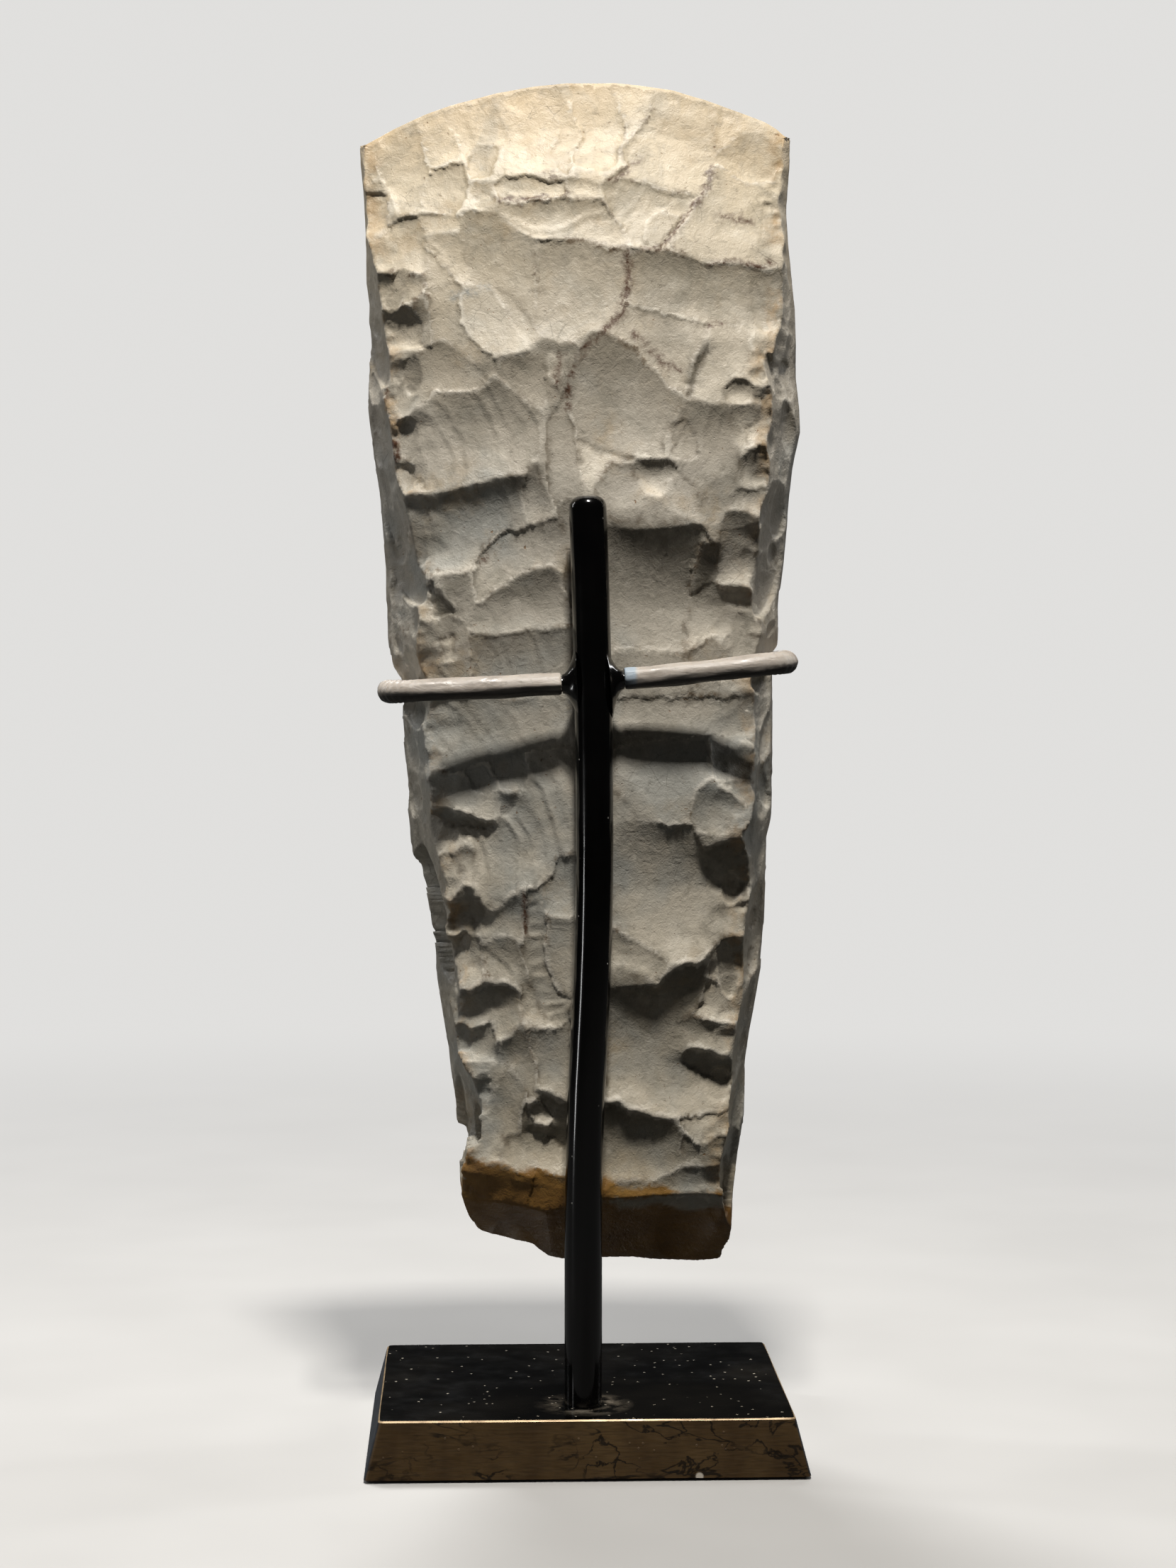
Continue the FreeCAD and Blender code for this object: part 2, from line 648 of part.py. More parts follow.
def bowl(centre, normal, half_size):
    """A flake's hollow: a shallow cap of a large ball, dipped into the face."""
    depth = bowl_depth_share * half_size
    radius = (half_size ** 2 + depth ** 2) / (2 * depth)
    tall = depth * (1 + bowl_overrun_share)
    start = math.degrees(math.asin(1 - tall / radius))
    middle = centre + normal * (radius - depth)
    cap = Part.makeSphere(radius, middle, -normal, start, 90, 360)
    return cap, centre, math.sqrt(radius ** 2 - (radius - tall) ** 2)


def in_lots(bowls):
    """Sort the bowls into lots whose members stay clear of each other, to cut a lot at a time."""
    lots = []
    for cap, centre, reach in bowls:
        for lot in lots:
            if all(centre.distanceToPoint(other) > reach + far for _, other, far in lot):
                lot.append((cap, centre, reach))
                break
        else:
            lots.append([(cap, centre, reach)])
    return [Part.makeCompound([cap for cap, _, _ in lot]) for lot in lots]


slope_step_share = 0.02
bowl_depth_share = 0.10
bowl_overrun_share = 1.2

# Flake scars of the front face, read off the flint: place across and radius as shares of half the
# width, and place along as a share of the length
FRONT_SCAR_SHARES = [
    (-0.86, 0.925, 0.16), (-0.66, 0.930, 0.17), (-0.47, 0.945, 0.16),
    (-0.24, 0.940, 0.25), (0.05, 0.935, 0.18), (0.40, 0.925, 0.29),
    (0.74, 0.940, 0.15), (0.74, 0.865, 0.27), (-0.87, 0.865, 0.16),
    (-0.84, 0.822, 0.13), (-0.86, 0.790, 0.12), (-0.42, 0.833, 0.27),
    (-0.03, 0.825, 0.24), (0.38, 0.815, 0.22), (0.64, 0.760, 0.19),
    (-0.68, 0.744, 0.22), (-0.50, 0.700, 0.30), (-0.52, 0.628, 0.30),
    (-0.32, 0.592, 0.21), (-0.33, 0.520, 0.19), (-0.70, 0.562, 0.12),
    (-0.09, 0.705, 0.20), (0.17, 0.730, 0.29), (0.53, 0.705, 0.16),
    (0.30, 0.668, 0.11), (0.48, 0.650, 0.14), (0.73, 0.608, 0.14),
    (0.34, 0.588, 0.29), (0.62, 0.552, 0.16), (0.33, 0.405, 0.24),
    (0.64, 0.385, 0.13), (0.42, 0.303, 0.37), (-0.33, 0.342, 0.28),
    (-0.34, 0.243, 0.17), (-0.45, 0.213, 0.16), (-0.20, 0.171, 0.15),
    (-0.36, 0.139, 0.12), (0.39, 0.182, 0.34), (0.33, 0.096, 0.22),
    (-0.40, 0.485, 0.25), (-0.10, 0.440, 0.21),
]

# Flake scars of the back face, in the same shares; that face isn't seen, so they are typical ones
BACK_SCAR_SHARES = [
    (-0.75, 0.93, 0.22), (-0.42, 0.94, 0.24), (-0.05, 0.94, 0.26), (0.32, 0.94, 0.25), (0.68, 0.93, 0.22),
    (-0.62, 0.84, 0.28), (0.60, 0.83, 0.29), (0.00, 0.82, 0.28), (-0.52, 0.74, 0.31), (0.56, 0.72, 0.32),
    (0.02, 0.71, 0.27), (-0.50, 0.63, 0.31), (0.48, 0.60, 0.32), (-0.02, 0.58, 0.25), (-0.44, 0.52, 0.31),
    (0.46, 0.48, 0.31), (-0.40, 0.41, 0.30), (0.44, 0.37, 0.30), (0.02, 0.43, 0.24), (-0.34, 0.30, 0.30),
    (0.40, 0.26, 0.28), (0.02, 0.29, 0.23), (-0.28, 0.19, 0.27), (0.36, 0.15, 0.27), (0.02, 0.16, 0.20),
    (-0.20, 0.10, 0.20), (0.26, 0.08, 0.20),
]


def face_bowls(front, table):
    half = size["axe_width"] / 2
    bowls = []
    for x_share, level_share, size_share in table:
        centre, normal = face_point(front, x_share * half, level_share)
        bowls.append(bowl(centre, normal, size_share * half))
    return bowls


def side_bowls():
    """Long lens-shaped scars down both narrow sides, two rows to a side, and bites in the seams."""
    half = size["axe_width"] / 2
    bowls = []
    for number, (waist_corner, seam_corner) in enumerate(SIDE_FACETS):
        outward = -1 if waist_corner == "left" else 1
        for level, wide_share in SIDE_SCAR_SHARES:
            points = section_points(level + side_shift_share * number)
            waist = points[CORNERS[waist_corner]]
            seam = points[CORNERS[seam_corner]]
            middle = (waist + seam) / 2
            flat = seam - waist
            normal = Vector(flat.y, -flat.x, 0)
            if normal.x * outward < 0:
                normal = -normal
            normal = normal / normal.Length
            bowls.append(bowl(middle, normal, wide_share * half))
        for level, wide_share in SEAM_BITE_SHARES:
            seam = section_points(level + bite_shift_share * number)[CORNERS[seam_corner]]
            normal = Vector(seam_tilt_share * outward, 1 if seam.y > 0 else -1, 0)
            normal = normal / normal.Length
            wide = wide_share * half
            inset = seam - normal * (seam_inset_share * wide)
            bowls.append(bowl(inset, normal, wide))
    return bowls


SIDE_FACETS = [
    ("left", "front_left"), ("left", "back_left"), ("right", "front_right"), ("right", "back_right"),
]
side_shift_share = 0.02
bite_shift_share = 0.03
seam_tilt_share = 0.8
seam_inset_share = 0.10
SIDE_SCAR_SHARES = [
    (0.12, 0.24), (0.24, 0.26), (0.37, 0.28), (0.50, 0.26), (0.64, 0.28), (0.77, 0.26),
]
SEAM_BITE_SHARES = [
    (0.10, 0.11), (0.19, 0.13), (0.28, 0.10), (0.36, 0.14), (0.60, 0.12), (0.70, 0.14), (0.79, 0.11),
]


def make_axe():
    flint = axe_blank()
    bowls = face_bowls(True, FRONT_SCAR_SHARES) + face_bowls(False, BACK_SCAR_SHARES) + side_bowls()
    for lot in in_lots(bowls):
        flint = flint.cut(lot)
    solids = sorted(flint.Solids, key=lambda solid: solid.Volume)
    print("flint solids", len(solids), "faces", len(flint.Faces), "volume", round(flint.Volume))
    axe = doc.addObject("Part::Feature", "flint_axe_stone")
    axe.Shape = solids[-1]
    return finished(axe, "flint_axe")


make_axe()

# Check every object, then write one file for each sub-part
doc.recompute()
for item in doc.Objects:
    if "Invalid" in item.State or "Error" in item.State:
        raise RuntimeError("failed object: " + item.Label)
for thing in parts_made:
    if thing.Shape.isNull() or not thing.Shape.isValid():
        raise RuntimeError("bad shape: " + thing.Label)
os.makedirs("parts", exist_ok=True)
for thing in parts_made:
    name = thing.Label.replace("_body", "")
    thing.Shape.exportStep("parts/" + name + ".step")
    box = thing.Shape.BoundBox
    print(f"{name:14s} {len(thing.Shape.Solids)} solid  x {box.XMin:7.2f} {box.XMax:7.2f}  "
          f"y {box.YMin:7.2f} {box.YMax:7.2f}  z {box.ZMin:7.2f} {box.ZMax:7.2f}")
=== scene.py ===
# %% [markdown]
# A flint axe with a thick butt, held up by a small museum mount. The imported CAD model
# comes in first as a fixed frame: every piece made here sits where that frame says.
# The stone and the two sleeves are then replaced by fuller pieces, and the metal parts
# keep their CAD shapes and get real finishes.

# %% Load the frame
import math
import bmesh
import bpy
import numpy as np
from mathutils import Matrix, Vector
from mathutils.kdtree import KDTree


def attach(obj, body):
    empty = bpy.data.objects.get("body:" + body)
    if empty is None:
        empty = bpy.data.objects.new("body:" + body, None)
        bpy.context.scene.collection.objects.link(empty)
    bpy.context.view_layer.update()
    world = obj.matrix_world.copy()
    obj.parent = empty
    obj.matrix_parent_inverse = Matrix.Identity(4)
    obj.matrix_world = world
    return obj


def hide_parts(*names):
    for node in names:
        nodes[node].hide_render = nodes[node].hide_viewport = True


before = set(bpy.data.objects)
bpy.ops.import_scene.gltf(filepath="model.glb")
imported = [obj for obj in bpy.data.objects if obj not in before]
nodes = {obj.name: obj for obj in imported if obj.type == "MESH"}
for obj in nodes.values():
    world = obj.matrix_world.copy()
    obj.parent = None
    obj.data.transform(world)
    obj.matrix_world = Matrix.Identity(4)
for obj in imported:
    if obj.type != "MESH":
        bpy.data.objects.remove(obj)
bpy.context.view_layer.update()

MM = 0.001
print("nodes", sorted(nodes))

# %% [markdown]
# Colours are easiest to choose as sRGB hex values, as a paint chart gives them. The shader
# works with linear light, so one function turns a hex value into linear numbers. Another
# adds a node, and the class Paint gathers the nodes that all the finishes share.

# %% Colour and node helpers
def linear(hex_colour):
    """An sRGB hex colour as linear red, green, blue and alpha."""
    values = [int(hex_colour[i:i + 2], 16) / 255 for i in (1, 3, 5)]
    return [v / 12.92 if v <= 0.04045 else ((v + 0.055) / 1.055) ** 2.4 for v in values] + [1.0]


def plug(tree, socket, value):
    """Link a socket to another, or set it to a number, a vector or an sRGB hex colour."""
    if isinstance(value, bpy.types.NodeSocket):
        tree.links.new(value, socket)
    else:
        socket.default_value = linear(value) if isinstance(value, str) else value


def add(tree, kind, settings=None, **links):
    """Add a node with its settings, and links or values for its inputs by name or number."""
    node = tree.nodes.new(kind)
    for name, value in (settings or {}).items():
        setattr(node, name, value)
    for name, value in links.items():
        key = int(name[1:]) if name[0] == "_" else name.replace("_", " ")
        plug(tree, node.inputs[key], value)
    return node


def per_mm(size):
    """Texture scale that gives features of that size in millimetres."""
    return 1 / (size * MM)


class Paint:
    """A node material being mixed, with the nodes that the finishes share."""

    def __init__(self, name, noise_roughness=0.5):
        self.material = bpy.data.materials.new(name)
        self.material.use_nodes = True
        self.tree = self.material.node_tree
        self.shader = self.tree.nodes["Principled BSDF"]
        self.place = add(self.tree, "ShaderNodeTexCoord").outputs["Object"]
        self.noise_roughness = noise_roughness

    def noise(self, size, detail=4.0, roughness=None, warp=0.0, stretch=None):
        """Cloudy noise with features of that size in millimetres."""
        at = self.place
        if stretch:
            at = add(self.tree, "ShaderNodeMapping", Vector=at, Scale=stretch).outputs[0]
        return add(self.tree, "ShaderNodeTexNoise", Vector=at, Scale=per_mm(size), Detail=detail,
                   Roughness=roughness or self.noise_roughness, Distortion=warp).outputs["Fac"]

    def band(self, value, low, high, low_to=0.0, high_to=1.0):
        """Turn the range from low to high into the range from low_to to high_to."""
        return add(self.tree, "ShaderNodeMapRange", _0=value, _1=low, _2=high, _3=low_to,
                   _4=high_to).outputs[0]

    def maths(self, operation, *values):
        """A sum on one to three numbers."""
        numbered = {f"_{i}": value for i, value in enumerate(values)}
        return add(self.tree, "ShaderNodeMath", {"operation": operation}, **numbered).outputs[0]

    def product(self, a, b):
        """One number times another."""
        return self.maths("MULTIPLY", a, b)

    def blend(self, base, colour, amount):
        """Lay a colour over a base, by an amount from 0 to 1."""
        return add(self.tree, "ShaderNodeMix", {"data_type": "RGBA"}, _0=amount, _6=base,
                   _7=colour).outputs[2]

    def ramp(self, value, stops):
        """A colour ramp between stops of (position, hex colour)."""
        node = add(self.tree, "ShaderNodeValToRGB", _0=value)
        elements = node.color_ramp.elements
        while len(elements) < len(stops):
            elements.new(0.5)
        for element, (position, colour) in zip(elements, stops):
            element.position = position
            element.color = linear(colour)
        return node.outputs["Color"]

    def part(self, vector, axis):
        """One axis of a vector."""
        return add(self.tree, "ShaderNodeSeparateXYZ", Vector=vector).outputs[axis]

    def way(self, axis):
        """One axis of the way that the surface faces."""
        return self.part(add(self.tree, "ShaderNodeNewGeometry").outputs["Normal"], axis)

    def away_from(self, spot):
        """Distance in metres from a spot given in millimetres."""
        metres = [value * MM for value in spot]
        return add(self.tree, "ShaderNodeVectorMath", {"operation": "DISTANCE"}, _0=self.place,
                   _1=metres).outputs["Value"]

    def cells(self, size, feature="F1"):
        """The outputs of a cell texture with cells of that size in millimetres."""
        return add(self.tree, "ShaderNodeTexVoronoi", {"feature": feature}, Vector=self.place,
                   Scale=per_mm(size)).outputs

    def crumbs(self, size, rim, core, fewest, most, amount=1.0):
        """Round specks in some of the cells: rim and core are shares of a cell."""
        cells = self.cells(size)
        return self.product(self.band(cells["Distance"], rim, core),
                            self.band(cells["Color"], fewest, most, 0.0, amount))

    def bump(self, height, distance, strength=1.0, **under):
        """Small relief, distance millimetres deep, over the relief given as Normal."""
        return add(self.tree, "ShaderNodeBump", Height=height, Distance=distance * MM,
                   Strength=strength, **under).outputs[0]

    def wire(self, **inputs):
        """Fill the shader's inputs: nodes are linked, and constants stay on the shader."""
        for name, value in inputs.items():
            plug(self.tree, self.shader.inputs[name.replace("_", " ")], value)
        return self.material


# %% [markdown]
# The camera stands where the photographer's did. Its place was worked out from the corners
# of the plinth: about 64 cm in front of the stone, a little to the left, looking slightly
# down. A long side of 36 mm and this lens give the picture's own perspective.

# %% Camera
PHOTO_SIZE = (1659, 2212)
FOCAL_PX = 4312.0
CAMERA_AT = np.array([-22.5, -638.6, 162.4])
CAMERA_YAW = math.radians(2.14)
CAMERA_PITCH = math.radians(2.24)
AHEAD = np.array([math.sin(CAMERA_YAW) * math.cos(CAMERA_PITCH),
                  math.cos(CAMERA_YAW) * math.cos(CAMERA_PITCH), -math.sin(CAMERA_PITCH)])
RIGHT = np.array([math.cos(CAMERA_YAW), -math.sin(CAMERA_YAW), 0.0])
UP = np.cross(RIGHT, AHEAD)

camera_data = bpy.data.cameras.new("photo_camera")
camera_data.sensor_fit = "VERTICAL"
camera_data.sensor_height = 36.0
camera_data.lens = FOCAL_PX / PHOTO_SIZE[1] * camera_data.sensor_height
camera = bpy.data.objects.new("photo_camera", camera_data)
camera.location = CAMERA_AT * MM
camera.rotation_euler = (math.pi / 2 - CAMERA_PITCH, 0, -CAMERA_YAW)
bpy.context.scene.collection.objects.link(camera)
bpy.context.scene.camera = camera
print("lens", round(camera_data.lens, 1))

# %% [markdown]
# Museum photographs of stone tools are lit from high up, so that light rakes down the faces
# and every flake scar shows. The key lamp is small, and hangs high and a little in front. A
# larger one does the same for the back. Two tall faint lamps behind the sides draw the
# narrow faces, and a very weak low one puts a sheen on the plinth. The world adds little.

# %% Lamps and world
BACKDROP = "#E9E8E6"
BACKDROP_LEVEL = 0.92
FILL_LEVEL = 0.018
LAMP_AIM = Vector((0, 0, 0.16))


def soft_lamp(name, at, power, wide, tall, colour="#FFFFFF"):
    """An oblong lamp that looks at the middle of the stone; lengths in metres."""
    data = bpy.data.lights.new(name, "AREA")
    data.energy = power
    data.color = linear(colour)[:3]
    data.shape = "RECTANGLE"
    data.size, data.size_y = wide, tall
    lamp = bpy.data.objects.new(name, data)
    lamp.location = at
    lamp.rotation_euler = (LAMP_AIM - lamp.location).to_track_quat("-Z", "Y").to_euler()
    bpy.context.scene.collection.objects.link(lamp)


soft_lamp("key_lamp", (0.02, -0.31, 0.88), 8.3, 0.07, 0.07, "#FFFBF5")
soft_lamp("left_lamp", (-0.58, 0.20, 0.46), 1.1, 0.06, 0.3)
soft_lamp("right_lamp", (0.58, 0.20, 0.46), 0.8, 0.06, 0.3)
soft_lamp("low_lamp", (-0.42, -0.18, 0.055), 0.10, 0.03, 0.09)
soft_lamp("back_lamp", (-0.10, 0.42, 0.85), 6.2, 0.2, 0.2)

world = bpy.data.worlds.new("studio")
bpy.context.scene.world = world
world.use_nodes = True
sky = world.node_tree
fill = sky.nodes["Background"]
plug(sky, fill.inputs["Color"], BACKDROP)
plug(sky, fill.inputs["Strength"], FILL_LEVEL)
bright = add(sky, "ShaderNodeBackground", Color=BACKDROP, Strength=BACKDROP_LEVEL)
ray = add(sky, "ShaderNodeLightPath")
backdrop_mix = add(sky, "ShaderNodeMixShader", _0=ray.outputs["Is Camera Ray"],
                   _1=fill.outputs[0], _2=bright.outputs[0])
plug(sky, sky.nodes["World Output"].inputs["Surface"], backdrop_mix.outputs[0])
bpy.context.scene.view_settings.view_transform = "Standard"

# %% [markdown]
# The floor is a plain pale sheet. It isn't part of the object.

# %% Floor
def mesh_object(name, points, faces, smooth=True):
    """A mesh object at the origin from points in metres."""
    mesh = bpy.data.meshes.new(name)
    mesh.from_pydata([tuple(p) for p in points], [], [tuple(f) for f in faces])
    mesh.update()
    if smooth:
        mesh.shade_smooth()
    item = bpy.data.objects.new(name, mesh)
    bpy.context.scene.collection.objects.link(item)
    return item


reach = 2.5
floor = mesh_object("floor", [(-reach, -reach, 0), (reach, -reach, 0), (reach, reach, 0), (-reach, reach, 0)],
                    [(0, 1, 2, 3)], smooth=False)
paper = Paint("pale_background_paper")
camera_ray = add(paper.tree, "ShaderNodeLightPath").outputs["Is Camera Ray"]
seen = paper.ramp(paper.noise(60, 2.0), [(0.3, "#B4B3B1"), (0.7, "#BAB9B7")])
paper.wire(Base_Color=paper.blend("#30302F", seen, camera_ray), Roughness=0.9)
# away from the object the sheet fades into the backdrop, for the camera alone
far = add(paper.tree, "ShaderNodeMapRange", {"interpolation_type": "SMOOTHSTEP"},
          _0=paper.away_from((0, 0, 0)), _1=0.06, _2=0.75)
glow = add(paper.tree, "ShaderNodeEmission", Color=BACKDROP, Strength=BACKDROP_LEVEL)
paper_mix = add(paper.tree, "ShaderNodeMixShader", _0=paper.product(far.outputs[0], camera_ray),
                _1=paper.shader.outputs[0], _2=glow.outputs[0])
plug(paper.tree, paper.tree.nodes["Material Output"].inputs["Surface"], paper_mix.outputs[0])
floor.data.materials.append(paper.material)

# %% [markdown]
# The stone. A knapper strikes flakes off a block, and each leaves a shallow hollow like the
# inside of a shell, with a crisp ridge where two hollows meet. Its shape starts from the
# outline in the photograph. Each broad face then becomes a map of depth, and the narrow
# sides and the cutting edge are struck flake by flake, as the knapper did.

# %% The outline, in the picture's own pixels
# Corners of the outline, read one by one; at a known depth each gives a place in millimetres.
LEFT_OUTLINE_PX = [
    (513, 205), (514, 235), (518, 270), (521, 330), (522, 400), (526, 430), (525, 480), (523, 560),
    (527, 600), (533, 650), (540, 700), (545, 750), (549, 800), (551, 900), (557, 950), (566, 990),
    (571, 1020), (576, 1060), (580, 1100), (580, 1140), (583, 1165), (587, 1217), (604, 1250),
    (614, 1310), (617, 1366), (625, 1403), (631, 1440), (638, 1477), (642, 1515), (647, 1552),
    (651, 1608), (655, 1663), (662, 1690), (673, 1724),
]
RIGHT_OUTLINE_PX = [
    (1109, 193), (1108, 240), (1104, 300), (1107, 344), (1111, 386), (1117, 440), (1118, 490),
    (1118, 535), (1123, 577), (1124, 611), (1113, 661), (1108, 704), (1105, 746), (1101, 788),
    (1095, 842), (1092, 918), (1094, 961), (1096, 1033), (1093, 1096), (1088, 1138), (1077, 1181),
    (1076, 1217), (1073, 1291), (1068, 1366), (1058, 1422), (1051, 1459), (1046, 1500),
    (1045, 1570), (1039, 1611), (1031, 1666), (1026, 1710), (1023, 1752), (1016, 1781),
]
LEFT_SEAM_PX = [
    (514, 205), (518, 260), (521, 330), (528, 380), (532, 400), (535, 430), (540, 480), (546, 500),
    (541, 540), (550, 581), (559, 598), (553, 628), (557, 649), (570, 700), (566, 742), (573, 771),
    (587, 797), (580, 831), (584, 856), (591, 877), (583, 910), (597, 940), (596, 995), (601, 1054),
    (600, 1096), (609, 1130), (616, 1181), (621, 1202), (615, 1236), (629, 1254), (642, 1291),
    (631, 1321), (646, 1340), (651, 1366), (642, 1440), (650, 1470), (648, 1534), (661, 1576),
    (664, 1621), (658, 1640), (655, 1663), (662, 1700), (675, 1724),
]
RIGHT_SEAM_PX = [
    (1109, 193), (1103, 217), (1100, 238), (1096, 285), (1101, 323), (1105, 344), (1104, 386),
    (1101, 407), (1096, 450), (1098, 475), (1084, 496), (1076, 513), (1086, 543), (1092, 598),
    (1083, 619), (1088, 683), (1077, 721), (1083, 746), (1078, 780), (1067, 810), (1069, 856),
    (1075, 885), (1080, 918), (1063, 957), (1069, 995), (1063, 1040), (1067, 1075), (1060, 1104),
    (1060, 1138), (1050, 1189), (1051, 1254), (1049, 1284), (1046, 1330), (1038, 1384),
    (1045, 1410), (1040, 1462), (1034, 1533), (1036, 1560), (1023, 1608), (1018, 1647),
    (1020, 1675), (1017, 1701), (1025, 1717), (1021, 1736), (1015, 1781),
]
CUTTING_EDGE_PX = [
    (512, 205), (550, 184), (600, 161), (635, 149), (700, 132), (750, 123), (800, 118), (870, 118),
    (900, 121), (950, 128), (1000, 143), (1050, 161), (1080, 172), (1100, 184), (1109, 194),
]
BUTT_END_PX = [
    (655, 1690), (673, 1724), (700, 1733), (727, 1743), (751, 1746), (773, 1764), (792, 1769), (853, 1769),
    (892, 1770), (920, 1775), (981, 1780), (1005, 1783), (1020, 1780),
]
def photo_to_plane(px, py, depth_y):
    """The place, in millimetres, where a pixel's line of sight crosses the plane y = depth_y."""
    px = np.asarray(px, float)[..., None]
    py = np.asarray(py, float)[..., None]
    ray = AHEAD * FOCAL_PX + RIGHT * (px - PHOTO_SIZE[0] / 2) - UP * (py - PHOTO_SIZE[1] / 2)
    reach = (np.asarray(depth_y, float) - CAMERA_AT[1]) / ray[..., 1]
    spot = CAMERA_AT + ray * reach[..., None]
    return spot[..., 0], spot[..., 2]


def by_level(points_px, depth_y):
    """A table of level and x from a run of pixels, lowest first."""
    px, py = np.array(points_px, float).T
    x, z = photo_to_plane(px, py, np.full(px.shape, depth_y))
    order = np.argsort(z)
    return z[order], x[order]


WIDEST_Y = 1.7
SEAM_Y = -13.5
BUTT_Y = 6.0
OUTLINE = {-1: by_level(LEFT_OUTLINE_PX, WIDEST_Y), 1: by_level(RIGHT_OUTLINE_PX, WIDEST_Y)}
SEAM = {-1: by_level(LEFT_SEAM_PX, SEAM_Y), 1: by_level(RIGHT_SEAM_PX, SEAM_Y)}
EDGE_X, EDGE_Z = photo_to_plane(*np.array(CUTTING_EDGE_PX, float).T, np.zeros(len(CUTTING_EDGE_PX)))
BUTT_X, BUTT_Z = photo_to_plane(*np.array(BUTT_END_PX, float).T, np.full(len(BUTT_END_PX), BUTT_Y))
print("edge top", round(float(EDGE_Z.max()), 1), "butt", round(float(BUTT_Z.min()), 1))

# %% [markdown]
# The blank. Its half thickness follows the level: thick at the butt, thinning in a curve to
# the cutting edge. The arms hold it at two places, and there its width is the CAD's.

# %% The blank's form
# level and half thickness, in millimetres
HALF_THICK = [(34, 15.4), (50, 16.0), (62, 16.6), (80, 17.0), (110, 17.3), (150, 17.35), (200, 17.2),
              (225, 16.4), (240, 14.6), (252, 12.4), (262, 9.6), (271, 6.2), (277, 3.9), (282, 1.6),
              (286, 0.4), (290, 0.3)]
# the faces fall by this share of their thickness towards the long ridges
SEAM_DROP = 0.20
# the blank is a little wider than the outline, because flakes still come off it
OUTLINE_SPARE = 0.75
# half width and level where each arm holds the stone
GRIP = {-1: 37.5, 1: 40.2}
GRIP_LEVEL = {-1: 157.0, 1: 163.0}
GRIP_SPARE, GRIP_FLARE = 2.0, 0.8
# planes that bevel the butt: a point and the way each looks
BUTT_PLANES = [((10, -15.2, 53.5), (0.10, -0.66, -0.75)), ((-22, -15.0, 55.0), (-0.22, -0.62, -0.75)),
               ((0, 15.0, 41.0), (0.0, 0.62, -0.78)), ((-30, 0, 44.0), (-0.75, -0.1, -0.65)),
               ((35, 0, 41.0), (0.80, 0.1, -0.6))]
# reaches along a ray in millimetres: past every face, and past everything
FAR_OFF, NEVER = 60.0, 1e9


def smooth_min(a, b, soft):
    """The lesser of two values, rounded off where they are close."""
    h = np.clip(0.5 + 0.5 * (b - a) / soft, 0, 1)
    return b + (a - b) * h - soft * h * (1 - h)


def half_width(z, side):
    """x of the widest line on one side; side is -1 for left, 1 for right."""
    x = np.interp(z, *OUTLINE[side])
    held = GRIP[side] + np.clip(z - GRIP_LEVEL[side] - GRIP_SPARE, 0, None) * GRIP_FLARE
    return side * smooth_min(side * x + OUTLINE_SPARE, held, 0.5)


def seam_x(z, side):
    """x of the line where the front face meets a narrow side."""
    x = np.interp(z, *SEAM[side]) + 0.35 * np.sin(z / 1.9 + side) + 0.25 * np.sin(z / 0.83 + 2 * side)
    return side * np.minimum(side * x + 0.3, side * half_width(z, side) - 0.25)


def face_depth(x, z):
    """Half thickness of the blank at a place on its front or back."""
    # the cutting edge curves down to its corners, and the thinning follows it
    lower = (np.interp(x, EDGE_X, EDGE_Z) - EDGE_Z.max()) * np.clip((z - 200) / 60, 0, 1)
    thick = np.interp(z - lower, *np.array(HALF_THICK).T)
    left, right = seam_x(z, -1), seam_x(z, 1)
    across = (2 * x - left - right) / (right - left)
    return thick * (1 - SEAM_DROP * np.clip(np.abs(across), 0, 1.3) ** 2.4)


def side_reach(x, z, hx, hy):
    """Distance along level rays to the two slanting planes of one narrow side."""
    side = 1 if hx[0] > 0 else -1
    seam = seam_x(z, side)
    wide = half_width(z, side)
    middle = np.minimum(WIDEST_Y, face_depth(wide, z) * 0.4)
    best = np.full(z.shape, FAR_OFF)
    for sign in (-1, 1):
        ax, ay = wide, middle
        ex, ey = 3 * (seam - wide), 3 * (sign * face_depth(seam, z) - middle)
        cross = hx * ey - hy * ex
        cross = np.where(np.abs(cross) < 1e-9, 1e-9, cross)
        reach = ((ax - x) * ey - ay * ex) / cross
        along = ((ax - x) * hy - ay * hx) / cross
        hit = (reach > 0) & (along > -0.001) & (along < 1.001) & (reach < best)
        best = np.where(hit, reach, best)
    return best


# %% [markdown]
# The front face is read off the stone scar by scar. The lamp stands almost overhead, so a
# light part of a scar faces up and a dark part faces down: lightness is slope. Each scar gives
# its slope at the top and at the foot, and one solve over the whole face finds the relief
# whose slopes fit all of them best. That is how a shaded picture becomes a surface.

# %% Scars of the front
# millimetres to a pixel on the stone's front
PX_MM = 0.1445
